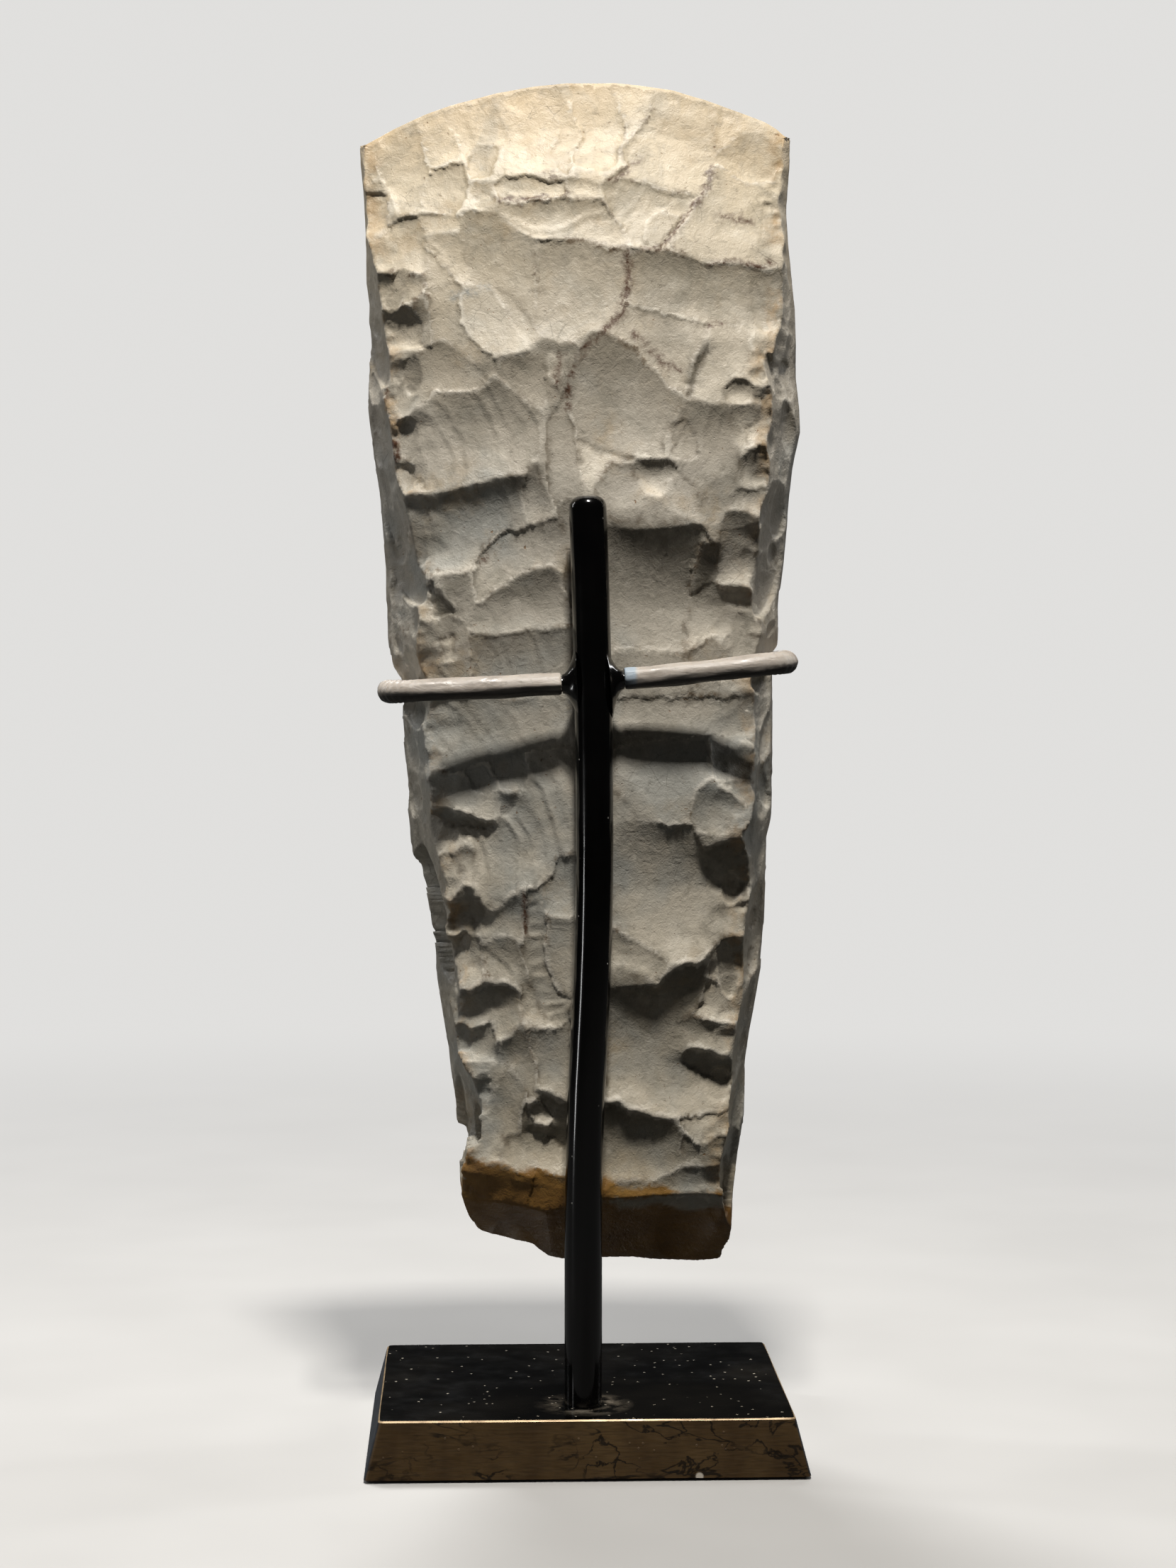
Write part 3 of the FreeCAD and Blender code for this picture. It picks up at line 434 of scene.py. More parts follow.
# Each row is one flake scar of the front: how light its top and its foot look (3 faces the
# lamp, -3 is black), its patina (1 cream, -1 grey), ripple height in mm, the pixel that the
# ripples run round, and its outline in pixels. Later rows lie over earlier ones.
FACETS = [
    # band along the cutting edge
    (0, 0.2, 0.8, 0, (800, -300), [(500, 200), (560, 172), (640, 142), (780, 110), (900, 110), (1060, 150),
     (1120, 195), (1100, 250), (1000, 290), (930, 355), (760, 335), (650, 302), (525, 300), (505, 240)]),
    (0.3, 0.5, 0.6, 0.03, (530, 150), [(505, 205), (540, 186), (533, 215), (532, 245), (520, 262),
     (510, 235)]),
    (-0.5, 1.0, 0.7, 0.07, (570, 130), [(540, 186), (578, 168), (592, 190), (598, 215), (610, 235),
     (600, 270), (592, 295), (562, 300), (552, 265), (535, 250), (533, 215)]),
    (-0.6, 0.8, 0.9, 0.05, (610, 110), [(580, 168), (635, 146), (632, 170), (642, 185), (652, 228),
     (625, 232), (612, 238), (600, 225), (595, 195)]),
    (-0.4, 0.6, 1.0, 0.04, (650, 100), [(635, 146), (658, 142), (662, 175), (675, 205), (652, 222),
     (645, 190), (632, 172)]),
    (-1.0, 0.6, 0.5, 0, (620, 200), [(612, 236), (652, 228), (658, 245), (658, 285), (645, 300), (595, 292),
     (600, 262)]),
    (-0.5, 0.8, 1.0, 0.06, (690, 90), [(660, 146), (690, 131), (700, 150), (715, 190), (700, 215),
     (690, 245), (662, 245), (655, 225), (672, 205), (662, 175)]),
    (-0.7, 0.3, -0.2, 0.03, (680, 150), [(672, 203), (700, 205), (702, 228), (690, 246), (662, 250),
     (656, 225)]),
    (-0.2, 0.9, 1.0, 0.06, (735, 60), [(690, 131), (720, 124), (755, 116), (768, 150), (790, 175),
     (785, 200), (790, 240), (745, 245), (712, 235), (706, 215), (716, 190), (708, 162)]),
    (-0.6, 0.6, 0.9, 0.03, (790, 90), [(755, 116), (800, 112), (805, 150), (820, 195), (806, 215),
     (810, 232), (795, 245), (778, 215), (788, 195), (790, 172), (768, 150)]),
    (-0.4, 0.7, 1.0, 0.05, (835, 70), [(800, 112), (855, 112), (872, 150), (880, 180), (870, 230),
     (855, 240), (812, 232), (806, 215), (822, 195), (812, 165)]),
    (-0.2, 0.8, 1.0, 0.04, (895, 70), [(855, 112), (935, 118), (925, 140), (915, 165), (882, 202),
     (880, 175), (870, 145)]),
    (-0.4, 0.4, 0.8, 0.05, (960, 90), [(925, 140), (938, 128), (975, 136), (1002, 146), (1010, 185),
     (1015, 210), (1000, 262), (960, 315), (935, 352), (905, 345), (845, 262), (885, 235), (882, 205),
     (917, 165)]),
    (-0.8, 0.7, 0.6, 0.12, (800, 200), [(858, 285), (850, 262), (880, 250), (940, 268), (985, 278),
     (960, 315), (930, 352), (895, 348), (880, 320)]),
    (-0.5, 0.6, 0.3, 0, (930, 320), [(915, 300), (940, 292), (960, 305), (945, 330), (925, 352),
     (905, 335)]),
    (-0.5, 0.8, 0.9, 0.03, (1030, 110), [(1000, 144), (1055, 162), (1040, 180), (1035, 200), (1015, 215),
     (1008, 185)]),
    (0.2, 0.5, 0.9, 0, (1080, 130), [(1045, 160), (1080, 166), (1115, 192), (1106, 215), (1075, 190),
     (1040, 185)]),
    (-0.8, 0.4, 0.5, 0, (1060, 150), [(1040, 185), (1072, 185), (1108, 215), (1102, 250), (1050, 255),
     (1020, 230), (1005, 228), (1020, 210)]),
    (-1.2, 1.2, 0.7, 0.16, (765, 150), [(700, 262), (705, 250), (740, 243), (770, 255), (800, 250),
     (795, 275), (745, 282), (705, 285)]),
    (-1.0, 1.0, 0.7, 0.10, (840, 170), [(795, 248), (850, 258), (845, 280), (830, 282), (795, 278)]),
    (-1.2, 1.2, 0.3, 0.15, (780, 170), [(700, 282), (745, 284), (800, 278), (850, 282), (880, 320),
     (895, 348), (850, 345), (790, 332), (760, 332), (730, 322), (703, 298)]),
    (-1.5, 1.0, 0.2, 0, (680, 240), [(660, 285), (658, 255), (670, 250), (700, 258), (700, 275), (683, 268),
     (672, 278), (665, 292)]),
    (1.0, -0.5, 0.6, 0, (685, 280), [(668, 292), (672, 276), (682, 269), (697, 278), (703, 299),
     (680, 299)]),
    (0.5, 1.5, 0.6, 0, (530, 300), [(512, 275), (532, 270), (548, 272), (545, 300), (545, 330),
     (518, 330)]),
    (-2.5, -1.0, 0, 0, (550, 290), [(548, 272), (556, 290), (556, 312), (548, 322), (545, 300)]),
    # upper left
    (0.2, 0.8, 0, 0, (620, 300), [(590, 298), (645, 300), (648, 320), (625, 330), (598, 330)]),
    (-0.8, 1.6, 0.1, 0.04, (500, 350), [(545, 320), (590, 305), (598, 330), (602, 365), (595, 382),
     (565, 385), (535, 380), (520, 352), (530, 335)]),
    (-0.6, 1.2, 0, 0.16, (575, 395), [(600, 332), (630, 325), (650, 330), (665, 375), (660, 392),
     (640, 392), (620, 372), (600, 350)]),
    (0, 0.4, 0, 0.08, (560, 360), [(602, 350), (620, 370), (640, 390), (625, 402), (600, 412), (598, 385)]),
    (-1.6, 1.6, -0.1, 0, (500, 410), [(526, 382), (565, 386), (598, 384), (602, 405), (590, 425),
     (575, 432), (540, 433), (524, 415)]),
    (-1.2, 0.6, -0.1, 0.05, (600, 250), [(652, 300), (703, 298), (730, 322), (762, 335), (762, 400),
     (755, 460), (730, 440), (700, 405), (680, 400), (662, 378), (650, 332)]),
    (0.2, 0, 0, 0.07, (560, 420), [(602, 412), (640, 400), (648, 425), (655, 460), (690, 500), (700, 520),
     (690, 530), (650, 500), (625, 480), (607, 470)]),
    (0.2, 1.4, 0.5, 0.02, (560, 480), [(645, 425), (660, 410), (695, 402), (705, 415), (722, 450),
     (742, 482), (745, 495), (715, 507), (695, 505), (668, 480), (650, 455)]),
    (0, 1.0, 0.2, 0, (700, 400), [(700, 402), (730, 425), (757, 460), (765, 478), (745, 492), (722, 450)]),
    (-2.2, 2.8, 0.3, 0, (500, 460), [(545, 437), (575, 436), (590, 450), (596, 475), (590, 495), (560, 495),
     (540, 488), (528, 470), (533, 448)]),
    (-1.8, -0.8, -0.2, 0, (500, 460), [(580, 432), (600, 415), (605, 440), (606, 480), (597, 478),
     (592, 452)]),
    # centre
    (-0.9, 0.9, 0, 0.04, (1050, 300), [(762, 335), (815, 335), (850, 345), (890, 348), (885, 390),
     (880, 430), (860, 450), (830, 470), (815, 485), (795, 482), (765, 475), (757, 460), (758, 400)]),
    (-0.2, 0.7, 0.3, 0, (1200, 330), [(1005, 235), (1020, 230), (1050, 255), (1110, 255), (1110, 330),
     (1110, 380), (1000, 372), (940, 352), (935, 352), (965, 315), (1000, 262)]),
    (-1.4, 1.0, -0.1, 0.04, (1200, 430), [(890, 350), (940, 352), (1000, 370), (1110, 380), (1102, 450),
     (1060, 458), (1000, 460), (960, 455), (905, 440), (885, 425)]),
    (-0.3, 1.2, 0.3, 0, (1150, 400), [(885, 430), (950, 445), (1000, 458), (995, 480), (990, 510),
     (975, 540), (970, 560), (945, 545), (925, 520), (900, 490), (870, 470), (850, 460), (880, 445)]),
    (0.6, 1.3, 0.6, 0, (1150, 500), [(1000, 460), (1060, 455), (1075, 480), (1082, 520), (1075, 545),
     (1040, 540), (1020, 545), (1018, 575), (972, 562), (985, 530), (998, 492)]),
    (-3, -3, -0.4, 0, (1150, 500), [(999, 468), (1000, 492), (983, 540), (974, 562), (967, 554),
     (984, 500)]),
    (1.5, 1.5, 0.5, 0, (1100, 470), [(1060, 470), (1075, 455), (1102, 450), (1100, 475), (1085, 497),
     (1060, 495)]),
    (-0.8, 0.3, -0.1, 0, (700, 540), [(765, 475), (815, 485), (808, 520), (798, 545), (785, 570),
     (775, 600), (780, 660), (775, 690), (765, 690), (768, 600), (770, 520)]),
    (-0.3, 0.3, 0, 0, (700, 600), [(797, 545), (806, 600), (815, 650), (827, 700), (800, 705), (775, 690),
     (772, 600), (785, 570)]),
    (0.2, 1.2, 0.2, 0, (700, 500), [(775, 500), (803, 500), (797, 525), (785, 545), (774, 530)]),
    (-1.4, 0.8, -0.1, 0.04, (650, 540), [(700, 505), (745, 492), (770, 475), (773, 510), (772, 565),
     (765, 575), (740, 560), (715, 540), (700, 520)]),
    # left, struck from the left edge
    (-1.3, 1.9, 0, 0.03, (500, 560), [(538, 500), (600, 495), (625, 480), (655, 500), (690, 530),
     (680, 545), (640, 548), (610, 550), (592, 570), (570, 592), (548, 592), (540, 560)]),
    (-0.9, 1.0, 0, 0.17, (535, 655), [(690, 530), (705, 535), (740, 562), (765, 575), (768, 620),
     (755, 650), (740, 665), (700, 672), (660, 680), (640, 695), (610, 690), (580, 685), (556, 655),
     (550, 620), (556, 592), (592, 568), (610, 550), (650, 550), (675, 548)]),
    (1.6, 2.4, 0.4, 0, (540, 670), [(550, 655), (575, 650), (590, 675), (605, 692), (580, 700),
     (560, 695)]),
    (-2.4, 1.8, -0.1, 0.13, (550, 770), [(575, 695), (625, 695), (645, 690), (670, 680), (735, 672),
     (750, 665), (765, 690), (770, 710), (765, 738), (740, 745), (705, 752), (690, 770), (675, 790),
     (665, 805), (640, 812), (610, 808), (590, 795), (572, 770), (564, 735), (566, 710)]),
    (-1.5, 1.2, -0.1, 0, (700, 700), [(742, 668), (755, 658), (765, 675), (772, 710), (765, 738),
     (745, 742), (738, 700)]),
    (-0.6, 1.6, 0, 0.16, (640, 760), [(705, 752), (740, 747), (770, 740), (790, 760), (800, 790),
     (785, 800), (750, 803), (720, 815), (695, 835), (675, 850), (665, 830), (672, 795), (690, 770)]),
    (-1.6, 0.9, -0.1, 0.07, (640, 900), [(720, 815), (755, 803), (785, 803), (792, 840), (802, 880),
     (780, 890), (745, 888), (700, 898), (665, 895), (652, 870), (680, 848), (700, 830)]),
    (-0.9, 0.2, -0.2, 0.13, (620, 960), [(665, 897), (700, 898), (745, 888), (802, 890), (802, 992),
     (690, 992), (670, 960), (660, 925)]),
    (1.5, 2.2, 0.4, 0, (560, 840), [(585, 800), (610, 808), (600, 830), (615, 850), (625, 875), (615, 885),
     (588, 880), (580, 860), (586, 835)]),
    (-0.8, 0.3, 0, 0.05, (580, 830), [(612, 815), (640, 815), (667, 808), (672, 850), (655, 870),
     (642, 865), (625, 835)]),
    (-3, -2.4, -0.3, 0, (560, 840), [(600, 815), (612, 822), (640, 860), (630, 868), (622, 878),
     (605, 845)]),
    (-0.8, 0.5, 0, 0.05, (560, 930), [(588, 885), (640, 870), (660, 880), (665, 930), (662, 992),
     (590, 992), (590, 940)]),
    (1.2, 1.6, 0.3, 0, (600, 920), [(620, 905), (640, 895), (645, 930), (625, 935)]),
    # behind the post
    (-0.8, 0.7, 0, 0.05, (700, 740), [(800, 700), (858, 735), (862, 800), (840, 870), (812, 850),
     (798, 780)]),
    (-0.5, 0.9, 0, 0.08, (760, 960), [(804, 1010), (846, 990), (860, 1050), (842, 1130), (818, 1105)]),
    (-0.9, 0.8, 0, 0.06, (900, 1230), [(820, 1215), (846, 1200), (862, 1280), (852, 1370), (824, 1345)]),
    (-0.6, 0.8, 0, 0.08, (740, 1400), [(808, 1430), (848, 1420), (860, 1510), (832, 1600), (810, 1540)]),
    # right, struck from the right edge
    (-1.3, 1.5, -0.2, 0.05, (1080, 640), [(830, 470), (870, 470), (900, 490), (925, 520), (945, 545),
     (965, 560), (950, 590), (940, 620), (935, 645), (890, 645), (865, 655), (840, 680), (825, 690),
     (815, 640), (803, 575), (800, 545), (812, 515)]),
    (1.0, 2.0, 0.3, 0.03, (900, 560), [(812, 615), (850, 635), (900, 648), (865, 657), (840, 682),
     (828, 695), (820, 660)]),
    (-0.8, 1.0, 0, 0.17, (1120, 640), [(965, 562), (1030, 575), (1035, 600), (1040, 640), (1043, 670),
     (1010, 672), (1000, 690), (990, 740), (960, 735), (935, 700), (945, 660), (940, 620), (955, 590)]),
    (-0.6, 0.8, 0, 0.12, (1040, 650), [(945, 602), (965, 590), (985, 610), (985, 640), (970, 650),
     (950, 640)]),
    (-0.1, 0.6, 0.1, 0, (950, 700), [(865, 655), (890, 652), (905, 690), (925, 700), (920, 725), (895, 728),
     (880, 735), (860, 728), (850, 700), (840, 685)]),
    (0, 0.7, 0.2, 0.05, (1060, 700), [(945, 672), (960, 665), (985, 690), (995, 740), (965, 740),
     (930, 725), (930, 700)]),
    (-2.0, 3.0, 0.4, 0, (1000, 660), [(892, 655), (905, 648), (950, 650), (958, 665), (940, 680),
     (930, 700), (910, 700), (900, 680)]),
    (-0.8, 0.9, 0.1, 0.05, (1100, 720), [(1000, 672), (1040, 668), (1043, 690), (1048, 720), (1020, 722),
     (1018, 745), (1008, 765), (985, 745), (975, 735), (992, 700)]),
    (0.2, 1.2, 0.4, 0, (1100, 720), [(1035, 695), (1060, 688), (1090, 688), (1085, 735), (1050, 722),
     (1040, 715)]),
    (-2.4, 2.0, 0.3, 0, (1110, 550), [(1024, 545), (1035, 533), (1052, 533), (1066, 545), (1068, 560),
     (1055, 570), (1040, 570), (1030, 562)]),
    (-1.4, 2.0, 0.5, 0, (1110, 600), [(1034, 572), (1055, 568), (1070, 580), (1060, 600), (1048, 620),
     (1048, 640), (1035, 615), (1030, 590)]),
    (-1.0, 2.0, 0.5, 0, (1110, 600), [(1068, 555), (1082, 548), (1098, 575), (1096, 600), (1075, 622),
     (1055, 625), (1050, 605), (1070, 590), (1078, 570)]),
    (-2.4, 1.6, 0.2, 0.05, (1110, 670), [(1048, 640), (1070, 630), (1094, 640), (1092, 680), (1070, 690),
     (1048, 690), (1043, 665)]),
    (-2.3, 1.6, 0.2, 0.04, (1110, 780), [(1022, 722), (1050, 722), (1084, 738), (1086, 765), (1072, 800),
     (1068, 830), (1040, 828), (1015, 820), (1022, 780), (1018, 750)]),
    (-2.2, 0.6, -0.4, 0.05, (1060, 860), [(855, 735), (880, 738), (915, 745), (960, 738), (985, 740),
     (1008, 765), (1012, 790), (1000, 820), (975, 835), (970, 870), (965, 920), (900, 915), (870, 910),
     (856, 920)]),
    (-3, -2.2, -0.5, 0, (1060, 800), [(990, 758), (1010, 768), (1013, 800), (1000, 822), (972, 838),
     (978, 800)]),
    (-1.8, 1.8, 0.2, 0.03, (1110, 870), [(1000, 825), (1040, 830), (1064, 835), (1074, 865), (1078, 895),
     (1030, 895), (1010, 900), (975, 915), (968, 880), (975, 845)]),
    (-0.4, 0.5, 0.1, 0.03, (1110, 930), [(975, 915), (1010, 900), (1030, 895), (1078, 897), (1086, 925),
     (1070, 955), (975, 960)]),
    (-0.2, -0.3, -0.1, 0, (1060, 960), [(856, 920), (900, 915), (965, 920), (975, 960), (1072, 955),
     (1076, 992), (860, 992)]),
    # below the arms, left
    (-0.6, 0.6, 0, 0.10, (560, 1120), [(590, 985), (802, 985), (802, 1055), (740, 1060), (700, 1075),
     (640, 1088), (598, 1080)]),
    (0.5, 1.8, 0.3, 0.05, (560, 1120), [(598, 1080), (640, 1088), (660, 1082), (668, 1110), (700, 1115),
     (705, 1135), (690, 1160), (650, 1145), (612, 1138), (602, 1110)]),
    (-0.4, 1.4, 0.2, 0.08, (600, 1160), [(657, 1082), (690, 1075), (705, 1110), (690, 1125), (665, 1112)]),
    (0.4, 1.8, 0.3, 0, (650, 1150), [(690, 1075), (740, 1060), (745, 1090), (735, 1118), (715, 1118),
     (703, 1100)]),
    (0.2, 1.6, 0.1, 0.26, (560, 1235), [(740, 1060), (800, 1055), (812, 1090), (815, 1180), (812, 1210),
     (790, 1210), (780, 1235), (765, 1248), (745, 1250), (725, 1262), (708, 1280), (685, 1285), (680, 1262),
     (665, 1235), (655, 1195), (640, 1175), (650, 1162), (700, 1165), (728, 1140), (745, 1090)]),
    (-1.6, -0.4, -0.2, 0, (650, 1150), [(705, 1122), (730, 1115), (728, 1140), (712, 1150)]),
    (-3, -2, -0.5, 0, (600, 1150), [(608, 1138), (650, 1145), (690, 1160), (702, 1168), (660, 1166),
     (625, 1160), (606, 1170)]),
    (0.2, 2.0, 0.3, 0, (580, 1180), [(604, 1165), (625, 1160), (640, 1175), (652, 1195), (640, 1200),
     (620, 1198), (606, 1180)]),
    (-0.3, 1.5, 0.2, 0, (860, 1180), [(790, 1210), (815, 1212), (812, 1290), (800, 1295), (770, 1288),
     (755, 1270), (765, 1250), (780, 1235)]),
    (-1.4, 1.6, 0, 0, (600, 1240), [(640, 1200), (655, 1192), (668, 1205), (672, 1235), (660, 1248),
     (648, 1225)]),
    (0, 1.8, 0.2, 0, (580, 1240), [(614, 1225), (630, 1208), (648, 1225), (650, 1250), (638, 1262),
     (620, 1245)]),
    (-2.6, -1.4, -0.4, 0, (600, 1280), [(652, 1250), (668, 1262), (682, 1285), (683, 1302), (672, 1300),
     (660, 1280), (648, 1268)]),
    (-1.7, 1.1, -0.2, 0.03, (640, 1300), [(745, 1250), (748, 1262), (742, 1300), (740, 1330), (715, 1318),
     (695, 1330), (680, 1335), (678, 1300), (705, 1285), (725, 1262)]),
    (-0.3, 0.6, -0.1, 0.22, (755, 1120), [(745, 1252), (765, 1275), (770, 1300), (768, 1345), (775, 1385),
     (790, 1430), (800, 1440), (780, 1445), (760, 1430), (750, 1400), (738, 1350), (740, 1300)]),
    (-0.3, 0.2, 0, 0, (860, 1340), [(770, 1290), (800, 1297), (815, 1292), (812, 1380), (795, 1385),
     (785, 1395), (775, 1370), (768, 1330)]),
    (-0.8, 0.4, -0.1, 0.14, (660, 1390), [(685, 1340), (700, 1318), (722, 1325), (738, 1345), (748, 1390),
     (740, 1400), (720, 1385), (690, 1385), (680, 1365)]),
    (-0.9, 2.0, 0.1, 0.05, (600, 1350), [(626, 1320), (645, 1300), (660, 1300), (672, 1330), (682, 1360),
     (680, 1385), (660, 1395), (645, 1380), (634, 1345)]),
    (-3, 2.6, 0, 0.15, (630, 1450), [(648, 1400), (680, 1385), (715, 1388), (735, 1405), (735, 1440),
     (722, 1460), (705, 1478), (700, 1460), (690, 1445), (660, 1460), (642, 1440)]),
    (0.6, 2.0, 0.1, 0.03, (860, 1400), [(735, 1385), (748, 1392), (758, 1425), (775, 1440), (800, 1442),
     (790, 1450), (745, 1452), (735, 1440), (737, 1410)]),
    (-2.0, 2.2, 0.1, 0, (620, 1480), [(648, 1462), (690, 1445), (698, 1465), (700, 1498), (670, 1495),
     (648, 1500)]),
    (-0.3, 1.6, 0.1, 0.03, (620, 1530), [(648, 1500), (700, 1498), (725, 1500), (715, 1520), (692, 1540),
     (690, 1515), (670, 1520), (656, 1545), (648, 1520)]),
    (-2.6, -1.0, -0.3, 0, (620, 1530), [(658, 1545), (672, 1518), (690, 1515), (692, 1548), (675, 1550)]),
    (0.2, 2.2, 0.1, 0.08, (630, 1570), [(652, 1550), (690, 1548), (690, 1570), (675, 1588), (658, 1582)]),
    (-2.2, 1.1, -0.2, 0, (660, 1540), [(700, 1478), (722, 1460), (735, 1452), (750, 1470), (758, 1500),
     (757, 1545), (745, 1555), (738, 1530), (725, 1502), (700, 1498)]),
    (-0.6, 0.3, -0.2, 0, (860, 1500), [(745, 1452), (790, 1450), (802, 1442), (802, 1555), (775, 1540),
     (760, 1535), (757, 1500)]),
    (-0.8, 1.7, 0.1, 0.12, (640, 1590), [(725, 1502), (738, 1530), (740, 1560), (738, 1600), (720, 1625),
     (705, 1640), (690, 1645), (665, 1630), (655, 1600), (675, 1590), (692, 1565), (693, 1540),
     (712, 1520)]),
    (-2.8, -2.0, -0.4, 0, (860, 1580), [(757, 1540), (775, 1538), (802, 1555), (802, 1625), (770, 1605),
     (735, 1605), (740, 1560), (760, 1560)]),
    (-3, 3, -0.2, 0, (700, 1560), [(742, 1560), (765, 1558), (782, 1580), (775, 1590), (755, 1588)]),
    (-0.4, 2.0, 0.1, 0.05, (680, 1700), [(715, 1605), (760, 1600), (802, 1625), (802, 1662), (775, 1660),
     (755, 1650), (745, 1665), (715, 1650), (702, 1640)]),
    # below the arms, right
    (-0.3, 0.6, 0, 0, (1120, 1050), [(860, 985), (1076, 985), (1070, 1045), (1000, 1035), (920, 1045),
     (862, 1060)]),
    (-0.5, 1.3, 0.1, 0.04, (1120, 1100), [(860, 1060), (920, 1045), (1000, 1035), (1010, 1060),
     (1005, 1100), (985, 1110), (978, 1140), (950, 1168), (905, 1155), (870, 1125), (860, 1110)]),
    (-0.6, 2.0, 0.2, 0, (1120, 1080), [(1000, 1038), (1045, 1045), (1068, 1060), (1066, 1100), (1010, 1100),
     (1003, 1070)]),
    (0.8, 1.6, 0.3, 0, (1120, 1120), [(1010, 1104), (1066, 1106), (1062, 1142), (1035, 1118)]),
    (-2.3, 1.6, 0.1, 0, (1120, 1160), [(1000, 1103), (1030, 1115), (1058, 1138), (1054, 1165), (1010, 1180),
     (985, 1170), (975, 1145), (985, 1118)]),
    (-0.6, 1.2, 0, 0.03, (1120, 1260), [(862, 1112), (905, 1155), (950, 1168), (975, 1170), (990, 1195),
     (1005, 1215), (1008, 1240), (1044, 1260), (1050, 1290), (1038, 1320), (1010, 1330), (980, 1355),
     (950, 1360), (920, 1345), (880, 1320), (862, 1305)]),
    (-0.3, 0, -0.1, 0, (1120, 1180), [(985, 1172), (1010, 1182), (1054, 1166), (1054, 1190), (1010, 1205),
     (992, 1192)]),
    (-3, -0.4, -0.3, 0, (1120, 1220), [(990, 1198), (1020, 1185), (1054, 1180), (1056, 1250), (1030, 1252),
     (1005, 1232)]),
    (-1.0, 1.6, 0, 0.08, (900, 1250), [(860, 1310), (885, 1322), (915, 1340), (945, 1362), (925, 1385),
     (895, 1375), (860, 1378)]),
    (-3.2, 1.7, -0.3, 0.05, (1120, 1500), [(858, 1380), (895, 1378), (925, 1388), (950, 1362), (990, 1358),
     (1010, 1335), (1000, 1365), (1002, 1395), (985, 1430), (960, 1450), (990, 1480), (1042, 1500),
     (1042, 1545), (1036, 1570), (1000, 1575), (965, 1578), (925, 1575), (890, 1562), (875, 1550),
     (856, 1555)]),
    (-1.8, 2.0, 0.1, 0, (1120, 1380), [(1010, 1335), (1030, 1322), (1048, 1335), (1044, 1380), (1025, 1400),
     (1008, 1380), (1000, 1360)]),
    (0, 2.0, 0.2, 0, (1120, 1430), [(1000, 1390), (1025, 1400), (1048, 1405), (1046, 1445), (1010, 1440),
     (985, 1435)]),
    (-2.2, 2.2, 0, 0, (1120, 1470), [(950, 1450), (985, 1435), (1010, 1440), (1046, 1448), (1044, 1490),
     (1020, 1495), (1005, 1480), (985, 1485), (965, 1458)]),
    (-2.6, -1.8, -0.4, 0, (1120, 1500), [(965, 1485), (1000, 1485), (1042, 1495), (1040, 1540),
     (1000, 1520), (968, 1505)]),
    (-2.9, 1.8, -0.3, 0.05, (1120, 1640), [(856, 1555), (875, 1552), (890, 1565), (925, 1578), (960, 1582),
     (970, 1600), (990, 1620), (1030, 1600), (1030, 1640), (1000, 1645), (960, 1652), (925, 1670),
     (880, 1670), (852, 1678)]),
    (-2.0, 0.6, -0.3, 0, (1120, 1620), [(965, 1605), (990, 1620), (1010, 1600), (1032, 1600), (1026, 1640),
     (985, 1645), (958, 1625)]),
    (0.8, 2.4, 0.2, 0, (1120, 1580), [(958, 1582), (980, 1575), (1010, 1575), (1042, 1562), (1044, 1575),
     (1032, 1600), (1000, 1605), (990, 1620), (970, 1600)]),
    (-1.8, 1.6, -0.1, 0.06, (940, 1500), [(860, 1675), (900, 1668), (925, 1670), (960, 1652), (1000, 1645),
     (1024, 1650), (1024, 1690), (960, 1688), (925, 1688), (905, 1697), (875, 1695)]),
    # the butt, broken through the skin
    (0, 0, -0.5, 0, (750, 1900), [(650, 1660), (700, 1700), (745, 1705), (738, 1735), (730, 1750),
     (660, 1740)]),
    (-1.2, -0.6, -0.5, 0, (750, 1600), [(658, 1625), (680, 1645), (685, 1660), (690, 1690), (662, 1672),
     (652, 1650)]),
    (-1.0, -0.4, -0.6, 0, (750, 1600), [(685, 1645), (715, 1648), (750, 1665), (745, 1700), (700, 1700),
     (690, 1680)]),
    (-0.5, 0.4, -0.5, 0, (750, 1600), [(755, 1650), (775, 1660), (802, 1665), (802, 1780), (770, 1775),
     (740, 1742), (745, 1700)]),
    (-0.3, 0.3, -0.5, 0, (950, 1500), [(800, 1680), (870, 1695), (905, 1698), (925, 1690), (1022, 1690),
     (1034, 1740), (1024, 1795), (920, 1790), (800, 1785)]),
    (-0.8, 0.6, -0.5, 0, (1100, 1700), [(975, 1705), (1000, 1708), (1028, 1740), (1010, 1755),
     (985, 1745)]),
    (0.6, 1.0, -0.4, 0, (1100, 1760), [(1000, 1755), (1026, 1745), (1024, 1790), (985, 1785)]),
]

# brown lines where iron has stained a ridge, and one grey smear, in pixels
RUST_LINES = [
    [(885, 352), (890, 400), (880, 440), (850, 470), (825, 490), (808, 525), (800, 550), (802, 580)],
    [(895, 470), (915, 492), (935, 508), (960, 522)], [(700, 281), (740, 279), (775, 275)],
    [(800, 545), (800, 575)], [(679, 795), (687, 785)],
    [(1000, 372), (1040, 365), (1070, 375), (1092, 368)], [(985, 280), (1000, 255), (1005, 235)],
    [(905, 350), (930, 352), (960, 315), (985, 280)], [(545, 500), (543, 540), (547, 560)],
    [(556, 620), (560, 650)], [(885, 235), (905, 225)], [(862, 255), (885, 238)],
    [(1000, 460), (1022, 454)], [(790, 500), (785, 545)], [(1010, 300), (1060, 310)],
    [(884, 360), (886, 395), (877, 430)], [(872, 445), (852, 464)], [(600, 1100), (606, 1130)],
    [(740, 1262), (742, 1320)],
]
SMEAR_LINE = [(636, 417), (660, 412), (688, 404)]


